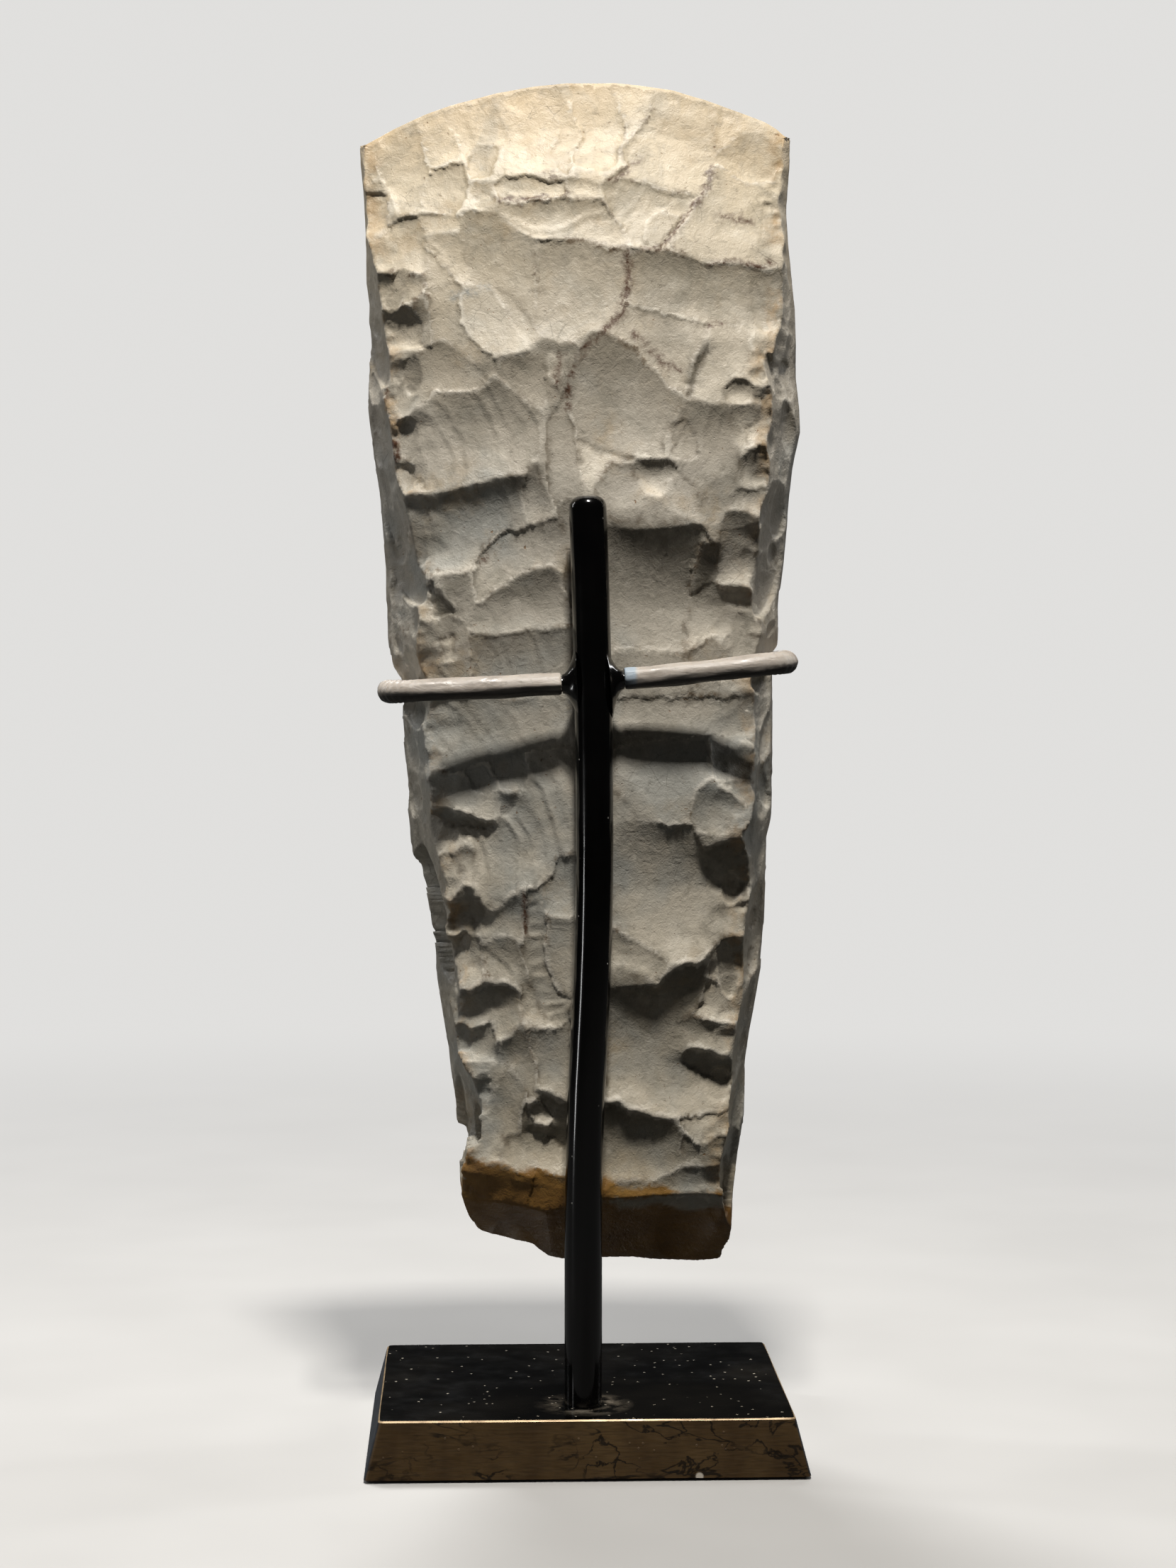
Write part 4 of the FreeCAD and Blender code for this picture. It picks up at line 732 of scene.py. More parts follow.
# %% [markdown]
# A face is kept as a height field: its half thickness at every place of a fine grid. The
# slopes may disagree a little where scars meet, so the solve spreads the difference: it works
# on waves (a Fourier transform), and damps the longest ones, which the blank already has.

# %% Faces as height fields
GRID = 0.36
GRID_X = np.arange(-50, 50, GRID)
GRID_Z = np.arange(30, 290, GRID)
SLOPE_PER_SHADE = 0.33
HOLLOW_SLOPE = 0.11
LONGEST_WAVE = 18.0
SUNK = 1.3
BUTT_FACETS = 6
STEP_DEPTH = 0.55
THICKEST, THINNEST = 17.2, 0.22
BORDER_REACH, RIPPLE_FADE = 1.8, 1.4
# the stone stands a little prouder just below the arms, so that their shadow falls close
PROUD, PROUD_LEVEL, PROUD_SPREAD = 2.2, 138, 13


def lattice_noise(points, size, seed):
    """Smooth random values from -1 to 1, with features of that size in millimetres."""
    table = np.random.default_rng(seed).uniform(-1, 1, (64, 64, 64))
    scaled = points / size + 100
    low = np.floor(scaled).astype(int)
    mix = scaled - low
    mix = mix * mix * (3 - 2 * mix)
    total = np.zeros(points.shape[:-1])
    for corner in range(8):
        offset = np.array([corner & 1, corner >> 1 & 1, corner >> 2 & 1])
        weight = np.prod(np.where(offset, mix, 1 - mix), -1)
        i, j, k = np.moveaxis((low + offset) % 64, -1, 0)
        total += weight * table[i, j, k]
    return total


def ragged(values, spot, coarse, fine, seed):
    """Values shifted by coarse and fine noise, each given as amount and size."""
    return (values + coarse[0] * lattice_noise(spot, coarse[1], seed)
            + fine[0] * lattice_noise(spot, fine[1], seed + 1))


def relief_from(slope_x, slope_z):
    """The relief whose slopes come closest to these, without its longest waves."""
    gx = np.block([[slope_x, -slope_x[:, ::-1]], [slope_x[::-1], -slope_x[::-1, ::-1]]])
    gz = np.block([[slope_z, slope_z[:, ::-1]], [-slope_z[::-1], -slope_z[::-1, ::-1]]])
    kz = 2 * math.pi * np.fft.fftfreq(gx.shape[0], GRID)[:, None]
    kx = 2 * math.pi * np.fft.fftfreq(gx.shape[1], GRID)[None, :]
    waves = -1j * (kx * np.fft.fft2(gx) + kz * np.fft.fft2(gz)) / (kx ** 2 + kz ** 2 + LONGEST_WAVE ** -2)
    waves[0, 0] = 0
    return np.real(np.fft.ifft2(waves))[:slope_x.shape[0], :slope_x.shape[1]]


def blurred(values, steps):
    """Mean over a square of 2 steps + 1 cells, taken twice."""
    for _ in range(2):
        for axis in (0, 1):
            values = sum(np.roll(values, k, axis) for k in range(-steps, steps + 1)) / (2 * steps + 1)
    return values


def inside(px, py, outline):
    """Which of these places lie inside a closed outline."""
    corners = np.array(outline, float)
    hit = np.zeros(px.shape, bool)
    for (ax, ay), (bx, by) in zip(corners, np.roll(corners, -1, 0)):
        if ay != by:
            hit ^= ((ay > py) != (by > py)) & (px < ax + (bx - ax) * (py - ay) / (by - ay))
    return hit


def on_plane(x, z):
    """Places on the stone's middle plane."""
    return np.stack([x, 0 * x, z], -1)


def on_grid(values, x, z):
    """A grid of values looked up at places, mixed between the four nearest cells."""
    i = np.clip((z - GRID_Z[0]) / GRID, 0, len(GRID_Z) - 1.001)
    j = np.clip((x - GRID_X[0]) / GRID, 0, len(GRID_X) - 1.001)
    low_i, low_j = i.astype(int), j.astype(int)
    mix_i, mix_j = i - low_i, j - low_j
    upper = values[low_i + 1, low_j] * (1 - mix_j) + values[low_i + 1, low_j + 1] * mix_j
    lower = values[low_i, low_j] * (1 - mix_j) + values[low_i, low_j + 1] * mix_j
    return lower * (1 - mix_i) + upper * mix_i


def border_gap(label, reach):
    """Distance in millimetres from the nearest border between labels, up to reach."""
    gap = np.full(label.shape, reach)
    near = np.zeros(label.shape, bool)
    for axis in (0, 1):
        near |= (np.roll(label, 1, axis) != label) | (np.roll(label, -1, axis) != label)
    for step in range(int(reach / GRID)):
        gap = np.where(near & (gap == reach), step * GRID, gap)
        near = near | np.roll(near, 1, 0) | np.roll(near, -1, 0) | np.roll(near, 1, 1) | np.roll(near, -1, 1)
    return gap


class Face:
    """One broad face of the stone: half thickness and marks for the colours, on a grid."""

    def __init__(self, blank, slope_x, slope_z, ripple, label, patina):
        relief = relief_from(slope_x, slope_z) + ripple
        near_edge = np.clip((blank - 0.4) / 5, 0, 1)
        self.height = np.clip(blank + (relief - SUNK) * near_edge, THINNEST, THICKEST)
        print("relief, spread and most, in mm", round(float(relief.std()), 2), round(float(relief.max()), 2))
        crest = self.height - blurred(self.height, 3)
        near = border_gap(label, 1.5)
        self.marks = {"ridge": np.clip(crest * 9, 0, 1) * np.clip(1.6 - near, 0, 1),
                      "hollow": np.clip((blurred(self.height, 8) - self.height) * 1.2, 0, 1),
                      "patina": blurred(patina, 1)}


def photo_pixel(x, y, z):
    """The pixel that shows a place of the object."""
    gap = np.stack([x, y, z], -1) - CAMERA_AT
    deep = gap @ AHEAD
    return (PHOTO_SIZE[0] / 2 + FOCAL_PX * (gap @ RIGHT) / deep,
            PHOTO_SIZE[1] / 2 - FOCAL_PX * (gap @ UP) / deep)


def fill_gaps(label):
    """Spread the labels over the cells that no outline covers."""
    while (label < 0).any():
        for axis, step in ((0, 1), (0, -1), (1, 1), (1, -1)):
            label = np.where(label < 0, np.roll(label, step, axis), label)
    return label


def line_gap(px, py, line):
    """Distance in pixels from a run of points."""
    best = np.full(px.shape, NEVER)
    for (ax, ay), (bx, by) in zip(line, line[1:]):
        span = (bx - ax) ** 2 + (by - ay) ** 2
        along = np.clip(((px - ax) * (bx - ax) + (py - ay) * (by - ay)) / span, 0, 1)
        best = np.minimum(best, np.hypot(px - ax - along * (bx - ax), py - ay - along * (by - ay)))
    return best


def waves_round(gap, length, height, turn):
    """Ripples that run out from where the blow fell."""
    turn = 2 * math.pi * gap / length + turn
    return 0.6 * height * (np.cos(turn) + 0.35 * np.cos(2 * turn + 0.9)) * (0.6 + 0.4 * np.cos(turn * 0.37))


def from_seam(x, z):
    """Distance across the face from the nearer long ridge."""
    return np.minimum(np.abs(x - seam_x(z, -1)), np.abs(x - seam_x(z, 1)))


def crushed_seams(x, z, seed):
    """Chips along the long ridges, which use has crushed for two or three millimetres."""
    spot = on_plane(x, z)
    in_places = np.clip(0.7 + lattice_noise(spot, 13.0, seed), 0, 1)
    crushed = np.clip(1.15 - from_seam(x, z) / 3.2, 0, 1) * in_places
    chips = sum(tall * np.abs(lattice_noise(spot, size, seed + more))
                for tall, size, more in ((0.7, 2.4, 1), (0.4, 1.1, 2)))
    return seam_scars(x, z, seed) - crushed * chips


def seam_scars(x, z, seed):
    """Short scars struck inward from the long ridges: each a scoop, the deepest one counts."""
    draw = np.random.default_rng(seed)
    spot = on_plane(x, z)
    bent_x, bent_z = (values + 0.7 * lattice_noise(spot, 2.2, seed + more)
                      for values, more in ((x, 3), (z, 4)))
    scoop = np.zeros(x.shape)
    for side in (-1, 1):
        level = 42.0
        while level < 258:
            tall = draw.uniform(1.6, 4.6)
            wide = tall * draw.uniform(1.2, 2.2)
            centre = float(seam_x(level, side)) - side * wide * draw.uniform(-0.1, 0.35)
            lean = draw.uniform(-0.35, 0.35)
            gap = ((bent_x - centre) / wide) ** 2 + ((bent_z - level + lean * (bent_x - centre)) / tall) ** 2
            scoop = np.minimum(scoop, 0.20 * tall * draw.uniform(0.5, 1.1) * (gap - 1))
            level += tall * draw.uniform(0.8, 1.9)
    return scoop


def seam_mark(x, z):
    """One on a long ridge, nought four millimetres away."""
    return np.clip(1.1 - from_seam(x, z) / 4, 0, 1)


def bare_below(x, z, level, lean):
    """One below the wavy line at the butt where the patina ends, and nought above it."""
    return np.clip((level - lean * x + 0.8 * np.sin(x / 2) - z) / 0.9, 0, 1)


def front_face():
    """The front, solved from the scars' lightness."""
    x, z = np.meshgrid(GRID_X, GRID_Z)
    blank = face_depth(x, z)
    straight_px, straight_py = photo_pixel(x, -blank, z)
    spot = on_plane(x, z)
    turn = lattice_noise(spot, 7.0, 21)
    px = ragged(straight_px, spot, (3.0, 2.6), (1.6, 1.0), 11)
    py = ragged(straight_py, spot, (3.0, 2.6), (1.6, 1.0), 13)
    label = np.full(x.shape, -1)
    for number, (*_, outline) in enumerate(FACETS):
        label[inside(px, py, outline)] = number
    label = fill_gaps(label)
    border = border_gap(label, BORDER_REACH)
    slope_x, slope_z, ripple, patina, lamp_shading, step = (np.zeros(x.shape) for _ in range(6))
    for number, (top, foot, skin, height, source, outline) in enumerate(FACETS):
        cells = label == number
        if not cells.any():
            continue
        corners = np.array(outline, float)
        (left, high), (right, low) = corners.min(0), corners.max(0)
        down = np.clip((py[cells] - high) / (low - high), -0.1, 1.1)
        across = np.clip((2 * px[cells] - left - right) / (right - left), -1.1, 1.1)
        lamp_shading[cells] = top + (foot - top) * down
        slope_z[cells] = -SLOPE_PER_SHADE * lamp_shading[cells]
        slope_x[cells] = HOLLOW_SLOPE * across
        # each scar is sunk by a share of its own, which leaves low steps between them
        step[cells] = -STEP_DEPTH * ((number * 0.381966) % 1)
        patina[cells] = skin
        gap = np.hypot(px[cells] - source[0], py[cells] - source[1]) * PX_MM
        length = 2.3 + 1.1 * ((number * 0.618) % 1)
        fade = np.clip(border[cells] / RIPPLE_FADE, 0.15, 1)
        ripple[cells] = waves_round(gap, length, max(height, 0.012) * fade, 2.4 * turn[cells])
    proud = PROUD * np.exp(-((z - PROUD_LEVEL) / PROUD_SPREAD) ** 2)
    face = Face(blank, slope_x, slope_z, ripple + step + proud + crushed_seams(x, z, 15), label, patina)
    rust = np.min([line_gap(straight_px, straight_py, line) for line in RUST_LINES], 0)
    face.marks["rust"] = np.clip(1.2 - rust / 4.4, 0, 1)
    bare = label >= len(FACETS) - BUTT_FACETS
    face.marks["bare"] = np.maximum(blurred(bare.astype(float), 1), bare_below(x, z, 57.3, 0.15))
    # each scar's lightness under the lamp, kept to paint light and shade into the colour
    face.marks["lamp_shading"] = blurred(lamp_shading, 1)
    face.marks["seam"] = seam_mark(x, z)
    face.marks["rim"] = np.clip(1 - border / 0.8, 0, 1)
    face.marks["smear"] = np.clip(1.2 - line_gap(straight_px, straight_py, SMEAR_LINE) / 6, 0, 1)
    return face


def back_face(seed):
    """The back, which isn't seen: scars struck in from both edges, set out by chance."""
    draw = np.random.default_rng(seed)
    x, z = np.meshgrid(GRID_X, GRID_Z)
    blank = face_depth(x, z)
    # scars reach in from each edge in three ranks, and nine run down from the cutting edge
    sites = []
    for side in (-1, 1):
        level = 40.0
        while level < 250:
            for share, reach in ((0.88, 0.5), (0.60, 1.0), (0.25, 1.1)):
                centre = side * share * abs(float(half_width(level, side))) + draw.uniform(-4, 4)
                sites.append((centre, level + draw.uniform(-8, 8), reach * draw.uniform(1.0, 1.5),
                              draw.uniform(0.8, 1.3), side))
            level += draw.uniform(12, 24)
    sites += [(across + draw.uniform(-2, 2), 268 - 0.006 * across ** 2, 0.8, 2.0, 0)
              for across in np.linspace(-38, 38, 9)]
    spot = on_plane(x, z)
    warped_x = ragged(x, spot, (1.6, 6.0), (0.5, 1.6), 31)
    warped_z = ragged(z, spot, (1.6, 6.0), (0.5, 1.6), 33)
    gaps = [np.hypot((warped_x - cx) / wide, (warped_z - cz) / tall) for cx, cz, wide, tall, _ in sites]
    label = np.argmin(gaps, 0)
    border = border_gap(label, BORDER_REACH)
    slope_x, slope_z, ripple, patina = (np.zeros(x.shape) for _ in range(4))
    for number, (cx, cz, wide, tall, side) in enumerate(sites):
        cells = label == number
        if not cells.any():
            continue
        dx, dz = x[cells] - cx, z[cells] - cz
        tip = draw.uniform(-0.11, 0.11)
        slope_x[cells] = 0.024 * dx / wide - 0.06 * side
        slope_z[cells] = 0.027 * dz / tall + tip
        patina[cells] = draw.uniform(-0.6, 0.6)
        gap = np.hypot(dx - side * 16 * wide, dz - (0 if side else 16))
        fade = np.clip(border[cells] / RIPPLE_FADE, 0.15, 1)
        ripple[cells] = waves_round(gap, draw.uniform(2.4, 3.4), draw.choice([0.02, 0.06, 0.12]) * fade, 0.0)
    face = Face(blank, slope_x, slope_z, ripple + crushed_seams(x, z, 41), label, patina)
    face.marks["seam"] = seam_mark(x, z)
    return face


FRONT, BACK = front_face(), back_face(77)
print("front half thickness", round(float(FRONT.height.min()), 2), round(float(FRONT.height.max()), 2))


# %% [markdown]
# Rays leave the middle plane in rows: straight forwards and back over the two faces, and in
# fans round the narrow sides. Below the lowest row they tip down until they point at the
# ground, which closes the butt. The last row lies on the cutting edge.

# %% Rays
# how far a flake's ellipsoid sinks in, times this, is the ellipsoid's half height
FLAKE_BULGE = 2.2


def first_crossing(start, way, outside, steps=56, far=34.0):
    """How far along each ray a measure of being outside first turns positive."""
    found = np.full(start.shape[:-1], FAR_OFF)
    before, at_before = outside(start), 0.0
    for reach in np.linspace(0, 1, steps)[1:] ** 1.2 * far:
        now = outside(start + way * reach)
        crossing = (before <= 0) & (now > 0) & (found == FAR_OFF)
        share = before / np.where(crossing, before - now, -1)
        found = np.where(crossing, at_before + share * (reach - at_before), found)
        before, at_before = now, reach
    return found


def below_butt(spot):
    """Positive below the butt's lower end."""
    return np.interp(spot[..., 0], BUTT_X, BUTT_Z) - spot[..., 2]


class Rays:
    """Rows of rays over the whole stone; row 0 points down, the last row is the cutting edge."""

    def __init__(self, step, fan, bottom, edge_levels=None):
        self.step, self.fan, self.bottom = step, fan, bottom
        self.cols = int(82 / step)
        self.u = (np.arange(self.cols) + 0.5) / self.cols
        start, flat = self.level_rows(edge_levels)
        reach = face_depth(start[..., 0], start[..., 2])
        for face in ("right", "left"):
            part = self.columns(face)
            reach[:, part] = side_reach(start[:, part, 0], start[:, part, 2], flat[part, 0], flat[part, 1])
        low_start, low_way, low_reach = self.tipped_rows(start, flat, reach)
        self.start = np.concatenate([low_start, start])
        self.way = np.concatenate([low_way, np.repeat(flat[None], len(start), 0)])
        self.blank = np.concatenate([low_reach, reach])
        self.take_faces()
        self.r = np.maximum(self.blank, 0.2)
        self.tint = np.zeros(self.r.shape)
        self.place = self.points()
        self.z_low = self.place[..., 2].min(1)
        self.z_high = self.place[..., 2].max(1)

    def columns(self, face):
        """The columns of one face: front, right, back or left."""
        first = {"front": 0, "right": self.cols, "back": self.cols + self.fan,
                 "left": 2 * self.cols + self.fan}[face]
        return slice(first, first + (self.cols if face in ("front", "back") else self.fan))

    def level_rows(self, edge_levels):
        """Where the level rays start, and the way that each column looks."""
        top_x = np.linspace(half_width(268.0, -1) + 0.6, half_width(270.0, 1) - 0.6, self.cols)
        top = np.interp(top_x, EDGE_X, EDGE_Z) - 0.1
        if edge_levels is not None:
            top = np.minimum(top, np.interp(self.u, *edge_levels))
        low = 57 - 6 * self.u
        rows = int(235 / self.step)
        z = low[None, :] + np.linspace(0, 1, rows)[:, None] * (top - low)[None, :]
        inner, ends = {}, {}
        for side, column in ((-1, 0), (1, -1)):
            level = z[:, column]
            edge = half_width(level, side)
            inset = np.clip(0.8 * face_depth(edge - 5 * side, level), 0.5, 12)
            inner[side] = edge - side * inset
            inner[side][-1] = top_x[column]
            ends[side] = np.repeat(on_plane(inner[side], level)[:, None], self.fan, 1)
        x = inner[-1][:, None] + self.u[None, :] * (inner[1] - inner[-1])[:, None]
        middle = on_plane(x, z)
        start = np.concatenate([middle, ends[1], middle[:, ::-1], ends[-1]], 1)
        flat = np.zeros(start.shape[1:])
        flat[self.columns("front"), 1] = -1
        flat[self.columns("back"), 1] = 1
        angle = np.linspace(-math.pi / 2, math.pi / 2, self.fan + 2)[1:-1]
        for face, sign in (("right", 1), ("left", -1)):
            flat[self.columns(face), 0] = sign * np.cos(angle)
            flat[self.columns(face), 1] = sign * np.sin(angle)
        return start, flat

    def tipped_rows(self, start, flat, reach):
        """The rows below the lowest level one, from straight down upwards."""
        tip = np.linspace(math.pi / 2, 0, self.bottom + 1)[:-1, None]
        way = np.stack([flat[None, :, 0] * np.cos(tip), flat[None, :, 1] * np.cos(tip),
                        -np.sin(tip) * np.ones(flat.shape[0])], -1)
        start = np.repeat(start[:1], self.bottom, 0)
        reach = np.minimum(reach[:1] / np.maximum(np.cos(tip), 1e-3), FAR_OFF)
        return start, way, np.minimum(reach, first_crossing(start, way, below_butt))

    def take_faces(self):
        """Cut the blank down to the two broad faces and to the planes that bevel the butt."""
        broad = self.blank.copy()
        for face in ("front", "back"):
            broad[self.bottom:, self.columns(face)] = FAR_OFF
        self.second = np.full(self.blank.shape, NEVER)
        for face, sign in ((FRONT, -1), (BACK, 1)):
            met = self.meet(face, sign)
            self.second = np.minimum(self.second, np.maximum(met, broad))
            broad = np.minimum(broad, met)
        butt = np.full(self.blank.shape, NEVER)
        for point, normal in BUTT_PLANES:
            normal = np.array(normal) / np.linalg.norm(normal)
            facing = self.way @ normal
            reach = ((np.array(point) - self.start) @ normal) / np.where(facing > 1e-6, facing, 1e-6)
            butt = np.where(facing > 1e-6, np.minimum(butt, reach), butt)
        self.blank = np.minimum(broad, butt)

    def meet(self, face, sign):
        """How far along each ray one broad face lies; sign is -1 for the front."""
        found = np.full(self.blank.shape, FAR_OFF)
        leaving = sign * self.way[..., 1] > 0.03

        def outside(spot):
            return sign * spot[..., 1] - on_grid(face.height, spot[..., 0], spot[..., 2])

        found[leaving] = first_crossing(self.start[leaving], self.way[leaving], outside)
        flat = np.abs(self.way[..., 1]) > 0.999
        straight = on_grid(face.height, self.start[..., 0], self.start[..., 2])
        return np.where(flat & leaving, straight, found)

    def points(self):
        """Where every ray meets the present surface."""
        return self.start + self.way * self.r[..., None]

    def settle(self, face, across, level, span):
        """The point of the present surface nearest a place, and the way it looks there.

        across is x on the front and back, and y on the narrow sides."""
        part = self.columns(face)
        axis = 0 if face in ("front", "back") else 1
        rows = np.nonzero((self.z_high > level - 3) & (self.z_low < level + 3))[0]
        low, high = (rows[0], rows[-1] + 1) if len(rows) else (0, len(self.r))
        patch = (self.start[low:high, part]
                 + self.way[low:high, part] * self.r[low:high, part, None])
        gap = (patch[..., axis] - across) ** 2 + (patch[..., 2] - level) ** 2
        row, column = np.unravel_index(np.argmin(gap), gap.shape)
        row, column = row + low, column + part.start
        k = max(2, int(span / self.step * 0.6))
        count = self.r.shape[1]
        wide = k if axis == 0 else max(2, k // 3)
        up, down = min(row + k, len(self.r) - 1), max(row - k, 0)
        ahead, behind = (column + wide) % count, (column - wide) % count

        def at(i, j):
            return self.start[i, j] + self.way[i, j] * self.r[i, j]

        normal = np.cross(at(row, ahead) - at(row, behind), at(up, column) - at(down, column))
        normal *= np.sign(normal @ self.way[row, column]) / np.linalg.norm(normal)
        return at(row, column), normal

    def cut(self, centre, normal, along, half_long, half_wide, depth, draw, tint, ripple, rough):
        """Take one flake off: an ellipsoid sunk depth into the surface at centre."""
        normal = normal / np.linalg.norm(normal)
        along = np.asarray(along, float)
        along = along - normal * (along @ normal)
        along /= np.linalg.norm(along)
        over = np.cross(normal, along)
        tall = depth * FLAKE_BULGE
        q = math.sqrt(1 - (1 - 1 / FLAKE_BULGE) ** 2)
        middle = centre + normal * (tall - depth)
        span = max(half_long, half_wide) * 1.25 + 2.5
        rows = np.nonzero((self.z_high > centre[2] - span) & (self.z_low < centre[2] + span))[0]
        if len(rows) == 0:
            return
        low, high = rows[0], rows[-1] + 1
        near = np.nonzero(np.abs(self.place[low:high] - centre).max(-1) < span)
        if len(near[0]) == 0:
            return
        index = (near[0] + low, near[1])
        # with the ellipsoid as a unit sphere, a ray enters it at a quadratic's lower root
        basis = np.stack([along / (half_long / q), over / (half_wide / q), normal / tall], 1)
        o = (self.start[index] - middle) @ basis
        d = self.way[index] @ basis
        a, b, c = (d * d).sum(1), (o * d).sum(1), (o * o).sum(1) - 1
        inside = b * b - a * c
        enter = np.where((inside > 0) & (c > 0), (-b - np.sqrt(np.maximum(inside, 0))) / a, NEVER)
        enter = np.where(enter > 0, enter, NEVER)
        # no break is quite even: waves from 14 mm down to 1.8 mm long, each its own way
        spot = self.place[index]
        wave = np.zeros(len(enter))
        for size in (14, 9, 6, 4, 2.6, 1.8):
            direction = draw.normal(size=3)
            direction *= 2 * math.pi / (np.linalg.norm(direction) * size * draw.uniform(0.8, 1.25))
            wave += (size / 14) ** 0.85 * np.cos(spot @ direction + draw.uniform(0, 2 * math.pi))
        enter = enter + wave * (0.05 + 0.10 * depth) * rough
        if ripple:
            source = centre + along * half_long * 1.15
            gap = np.linalg.norm((spot - source) - ((spot - source) @ normal)[:, None] * normal, axis=1)
            length = draw.uniform(2.3, 3.4) * (0.8 + 0.02 * max(half_long, half_wide))
            turn = 2 * math.pi * gap / length + 0.7 * wave
            crest = np.cos(turn) + 0.35 * np.cos(2 * turn + 0.9)
            swell = 0.6 + 0.4 * np.cos(turn * 0.37 + 1.1)
            enter = enter + ripple * crest * swell
        now = self.r[index]
        wins = enter < now
        self.second[index] = np.where(wins, now, np.minimum(self.second[index], enter))
        self.r[index] = np.where(wins, enter, now)
        self.tint[index] = np.where(wins, tint, self.tint[index])


# %% [markdown]
# The narrow sides are struck too, in long lens-shaped flakes, and the cutting edge carries a
# fine retouch of small flakes. These are cut ray by ray, each by a sunken ellipsoid.

# %% Flakes of the sides and edges
def knap(rays, seed):
    """Take the flakes off the narrow sides and the cutting edge."""
    draw = np.random.default_rng(seed)
    seat = rays.settle

    # long flakes down the narrow sides
    for face, outward in (("left", -1), ("right", 1)):
        for y in (-7.5, 8.5):
            level = 40 + draw.uniform(0, 6)
            while level < 246:
                thick = float(face_depth(outward * 30.0, level))
                spot, normal = seat(face, y * thick / 15, level, 6)
                rays.cut(spot, normal, (0, draw.uniform(-0.5, 0.5), 1), draw.uniform(8, 13),
                         max(2.0, 0.5 * thick) * draw.uniform(0.8, 1.1), draw.uniform(0.5, 1.0), draw,
                         draw.uniform(-1, 1), 0.05, rough=0.35)
                level += draw.uniform(7, 12)

    # shorter ones between them
    for face in ("left", "right"):
        for y in (-11.0, -3.0, 3.5, 11.5):
            level = 44 + draw.uniform(0, 8)
            while level < 240:
                spot, normal = seat(face, y * float(face_depth(30.0, level)) / 15, level, 4)
                rays.cut(spot, normal, (0, draw.uniform(-0.8, 0.8), 1), draw.uniform(2.5, 5.5),
                         draw.uniform(1.6, 3.2), draw.uniform(0.25, 0.55), draw,
                         draw.uniform(-1, 1), 0.04, rough=0.35)
                level += draw.uniform(5, 16)

    # and along the cutting edge, on both faces
    for face in ("front", "back"):
        x = -42.0
        while x < 43:
            size = float(np.clip(draw.lognormal(0.25, 0.4), 0.7, 2.4))
            top = float(np.interp(x, EDGE_X, EDGE_Z))
            spot, normal = seat(face, x, top - size * draw.uniform(0.4, 1.2), 1.5)
            rays.cut(spot, normal, (draw.uniform(-0.3, 0.3), 0, 1), size * 1.3, size,
                     size * draw.uniform(0.05, 0.11), draw, draw.uniform(-1, 1), 0.0, rough=0.3)
            x += size * draw.uniform(0.8, 1.6)


# %% [markdown]
# A first, coarse pass shows how far each part of the cutting edge is struck away. The fine
# pass ends its last row there, so that the edge is ragged and thin but never torn.

# %% Knap the stone
SEED = 1417
EDGE_LAND = 0.45

trial = Rays(0.9, 40, 20)
knap(trial, SEED)
front_r = trial.r[trial.bottom:, trial.columns("front")]
back_r = trial.r[trial.bottom:, trial.columns("back")][:, ::-1]
solid = front_r + back_r > EDGE_LAND
levels = trial.start[trial.bottom:, :trial.cols, 2]
edge_rows = len(solid) - 1 - np.argmax(solid[::-1], axis=0)
edge_levels = levels[edge_rows, np.arange(trial.cols)]
print("edge struck back by at most", round(float((levels[-1] - edge_levels).max()), 2), "mm")

rays = Rays(0.42, 72, 50, (trial.u, edge_levels))
knap(rays, SEED)
print("rays", rays.r.shape, "scar depth", round(float((rays.blank - rays.r).max()), 2), "mm")


# %% [markdown]
# One more layer belongs to the stone itself: slow swells a few millimetres long, where the
# flint's grain turned the break aside. It is smooth random relief on a lattice.

# %% Fine relief
surface = rays.points()
relief = (0.05 * lattice_noise(surface, 4.5, 3) + 0.035 * lattice_noise(surface, 2.0, 4)
          + 0.02 * lattice_noise(surface, 1.0, 5))
thin = np.clip((rays.r - 0.4) / 3, 0.1, 1)
rays.r = np.maximum(rays.r + relief * thin, 0.16)
surface = rays.points()
across, deep, level = np.moveaxis(surface, -1, 0)
deep = np.clip(deep, -THICKEST - 0.1, THICKEST + 0.1)
across = np.clip(across, half_width(level, -1) - 0.1, half_width(level, 1) + 0.1)
level = np.clip(level, np.interp(across, BUTT_X, BUTT_Z), np.interp(across, EDGE_X, EDGE_Z))
surface = np.stack([across, deep, level], -1)
print("stone from", surface.min((0, 1)).round(1), "to", surface.max((0, 1)).round(1), "mm")

# %% [markdown]
# The grid of points becomes a mesh: quads between rows, a narrow strip along the cutting
# edge, and the butt closed by merging the points that the downward rays share. Decimate
# then spends triangles where the ridges are.

# %% Mesh of the stone
TRIANGLES = 186000


def stone_mesh(points):
    """A closed mesh from rows of points that go round the stone."""
    rows, count = points.shape[:2]
    number = np.arange(rows * count).reshape(rows, count)
    beside = np.roll(number, -1, 1)
    quads = np.stack([number[:-1], beside[:-1], beside[1:], number[1:]], -1).reshape(-1, 4)
    middle = number.shape[1] - rays.fan // 2
    loop = np.roll(number[-1], -middle)
    half = count // 2
    zip_quads = np.stack([loop[:half - 1], loop[1:half], loop[::-1][1:half], loop[::-1][:half - 1]], -1)
    faces = np.concatenate([quads, zip_quads])
    mesh = bpy.data.meshes.new("flint_stone")
    mesh.from_pydata((points.reshape(-1, 3) * MM).tolist(), [], faces.tolist())
    mesh.update()
    return mesh


